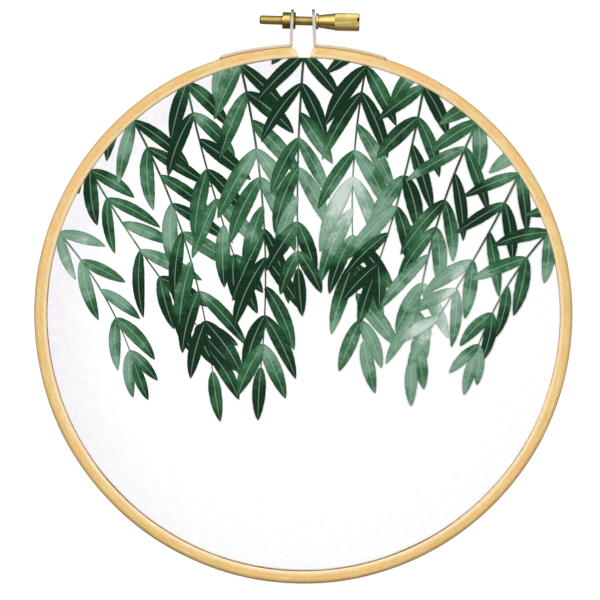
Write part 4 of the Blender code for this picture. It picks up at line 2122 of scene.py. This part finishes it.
@dataclass
class Studio:
    """The pale floor, the soft lights and the camera."""

    place: HoopPlace
    lens: float = 300.0
    sensor: float = 36.0
    seen_width: float = 180.6 * MM
    look_right: float = -0.903 * MM
    look_up: float = 4.315 * MM
    focus_height: float = 8.8 * MM
    floor_size: float = 6.0
    floor_glow: float = 0.88
    floor_tone: float = 0.32
    bounce: float = 0.42
    lights: tuple[SoftLight, ...] = (
        SoftLight("left", (-1.30, 0.60, 1.25), 1.2, 20.4, (0.96, 0.985, 1.0)),
        SoftLight("right", (1.35, 0.25, 1.25), 1.2, 16.5, (0.96, 0.985, 1.0)),
    )
    dome_north: float = 0.60
    dome_up: float = 0.80
    dome_from: float = 0.62
    dome: float = 1.0
    base_low: float = 0.06
    base_high: float = 0.40
    cool: Colour = (0.97, 0.985, 1.0)
    warm: Colour = (1.0, 0.76, 0.42)

    def camera(self) -> None:
        """Puts the camera straight over the hoop."""
        data = bpy.data.cameras.new("camera")
        data.lens, data.sensor_width = self.lens, self.sensor
        data.clip_start, data.clip_end = 0.05, 20.0
        eye = bpy.data.objects.new("camera", data)
        away = self.seen_width * self.lens / self.sensor
        north = self.place.centre_y + self.look_up
        eye.location = (self.look_right, north, self.focus_height + away)
        bpy.context.scene.collection.objects.link(eye)
        bpy.context.scene.camera = eye

    def floor(self) -> None:
        """Lays the pale floor, which polished metal doesn't mirror."""
        material, web, shader = new_material("pale_floor")
        path = web.node("ShaderNodeLightPath")
        seen, mirrored = path.outputs["Is Camera Ray"], path.outputs["Is Glossy Ray"]
        paper = web.remap(web.cloud(web.position(), 6.0), 0.3, 0.7, 0.98, 1.0)
        tone = web.math("MULTIPLY", paper, web.remap(seen, 0.0, 1.0, self.bounce, self.floor_tone))
        web.feed(shader.inputs["Base Color"], web.vector(tone, tone, tone))
        web.feed(shader.inputs["Emission Strength"], web.math("MULTIPLY", seen, self.floor_glow))
        shader.inputs["Emission Color"].default_value = (1, 1, 1, 1)
        shader.inputs["Roughness"].default_value = 0.9
        clear, both = web.node("ShaderNodeBsdfTransparent"), web.node("ShaderNodeMixShader")
        web.feed(both.inputs[0], mirrored)
        web.feed(both.inputs[1], shader.outputs[0])
        web.feed(both.inputs[2], clear.outputs[0])
        web.feed(material.node_tree.nodes["Material Output"].inputs["Surface"], both.outputs[0])
        shape = MeshShape()
        half = self.floor_size / 2
        shape.add_patch([[Vector((x, y, 0)) for x in (-half, half)] for y in (-half, half)], [])
        shape.to_object("floor", material, 30)

    def sky(self) -> None:
        """Sets a dome, brightest high over the screw's side and warm and dim towards the other."""
        world = bpy.data.worlds.new("studio")
        world.use_nodes = True
        web = NodeWeb(world.node_tree)
        back = world.node_tree.nodes["Background"]
        _, north, up = web.split(web.node("ShaderNodeTexCoord").outputs["Generated"])
        rise = web.math("MULTIPLY", up, self.dome_up)
        toward = web.math("MULTIPLY_ADD", north, self.dome_north, rise)
        bright = web.remap(toward, self.dome_from, 1.0, 0.0, self.dome)
        base = web.remap(toward, -0.15, 0.7, self.base_low, self.base_high)
        web.feed(back.inputs["Strength"], web.math("ADD", bright, base))
        web.feed(back.inputs["Color"], web.tint(web.remap(north, 0.05, -0.5), self.cool, self.warm))
        bpy.context.scene.world = world
        bpy.context.scene.view_settings.view_transform = "Standard"

    def build(self) -> None:
        """Sets up the whole studio."""
        self.camera()
        self.floor()
        self.sky()
        for light in self.lights:
            light.hang()


def report(piece: bpy.types.Object) -> None:
    """Logs a piece's name and how many faces it has."""
    LOG.info("%s: %d faces", piece.name, len(piece.data.polygons))


def main() -> None:
    """Builds and dresses every piece in order, then the studio."""
    logging.basicConfig(level=logging.INFO, format="%(name)s %(message)s", stream=sys.stdout)
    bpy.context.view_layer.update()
    place = HoopPlace.from_frame()
    pale_wood = WoodFinish(
        name="satin_beech",
        pale=(0.81, 0.595, 0.28),
        body=(0.67, 0.475, 0.15),
        warm=(0.80, 0.465, 0.185),
        ray=(0.34, 0.20, 0.07),
        highlight_and_wear=(0.90, 0.76, 0.52),
        rays=0.28,
        gloss=0.42,
        offset=0.0,
        sanded=0.45,
    )
    bare_wood = WoodFinish(
        name="bare_beech",
        pale=(0.84, 0.64, 0.36),
        body=(0.68, 0.46, 0.21),
        warm=(0.76, 0.48, 0.24),
        ray=(0.38, 0.22, 0.09),
        highlight_and_wear=(0.80, 0.62, 0.38),
        rays=0.35,
        gloss=0.6,
        offset=1.7,
    )
    steel = MetalFinish(
        name="dull_plated_steel",
        bright=(0.56, 0.52, 0.50),
        dull=(0.46, 0.42, 0.39),
        roughness=0.5,
        worked=Metal.ROLLED,
        wood_reflection=(0.62, 0.50, 0.37),
    )
    nut_brass = MetalFinish(
        name="dark_brass",
        bright=(0.76, 0.58, 0.16),
        dull=(0.58, 0.42, 0.08),
        painted_shade=(0.17, 0.095, 0.01),
        shade_out=1.2 * MM,
        crest_out=1.6 * MM,
        roughness=0.17,
        worked=Metal.TURNED,
        flange_shade_from=-3.0 * MM,
        low_side_shade=0.8,
    )
    screw_brass = MetalFinish(
        name="bright_brass",
        bright=(0.90, 0.73, 0.27),
        dull=(0.70, 0.52, 0.15),
        painted_shade=(0.36, 0.235, 0.07),
        shade_out=1.32 * MM,
        crest_out=1.42 * MM,
        roughness=0.2,
        worked=Metal.TURNED,
        low_side_shade=0.4,
    )
    cotton = ClothFinish()

    outer = OuterRing(place, pale_wood)
    outer_piece = outer.build()
    outer.dress(outer_piece)
    report(outer_piece)

    inner = InnerRing(place, bare_wood)
    inner_piece = inner.build()
    inner.dress(inner_piece)
    report(inner_piece)

    cloth = StretchedCloth(place, cotton)
    leaves = LeafPrint(place, PrintFinish(cotton), cloth)
    leaf_piece = leaves.build()
    leaves.dress(leaf_piece)
    report(leaf_piece)
    cloth_piece = cloth.build()
    cloth.dress(cloth_piece, inner_piece, leaf_piece)
    report(cloth_piece)

    for side, hole in ((Side.LEFT, 2.1 * MM), (Side.RIGHT, 1.55 * MM)):
        bracket = Bracket(place, steel, side, hole)
        bracket_piece = bracket.build()
        bracket.dress(bracket_piece)
        report(bracket_piece)

    nut = ClinchNut(place, nut_brass)
    nut_piece = nut.build()
    nut.dress(nut_piece)
    report(nut_piece)

    screw = TighteningScrew(place, screw_brass)
    screw_piece = screw.build()
    screw.dress(screw_piece)
    report(screw_piece)

    Studio(place).build()


if __name__ == "__main__":
    main()
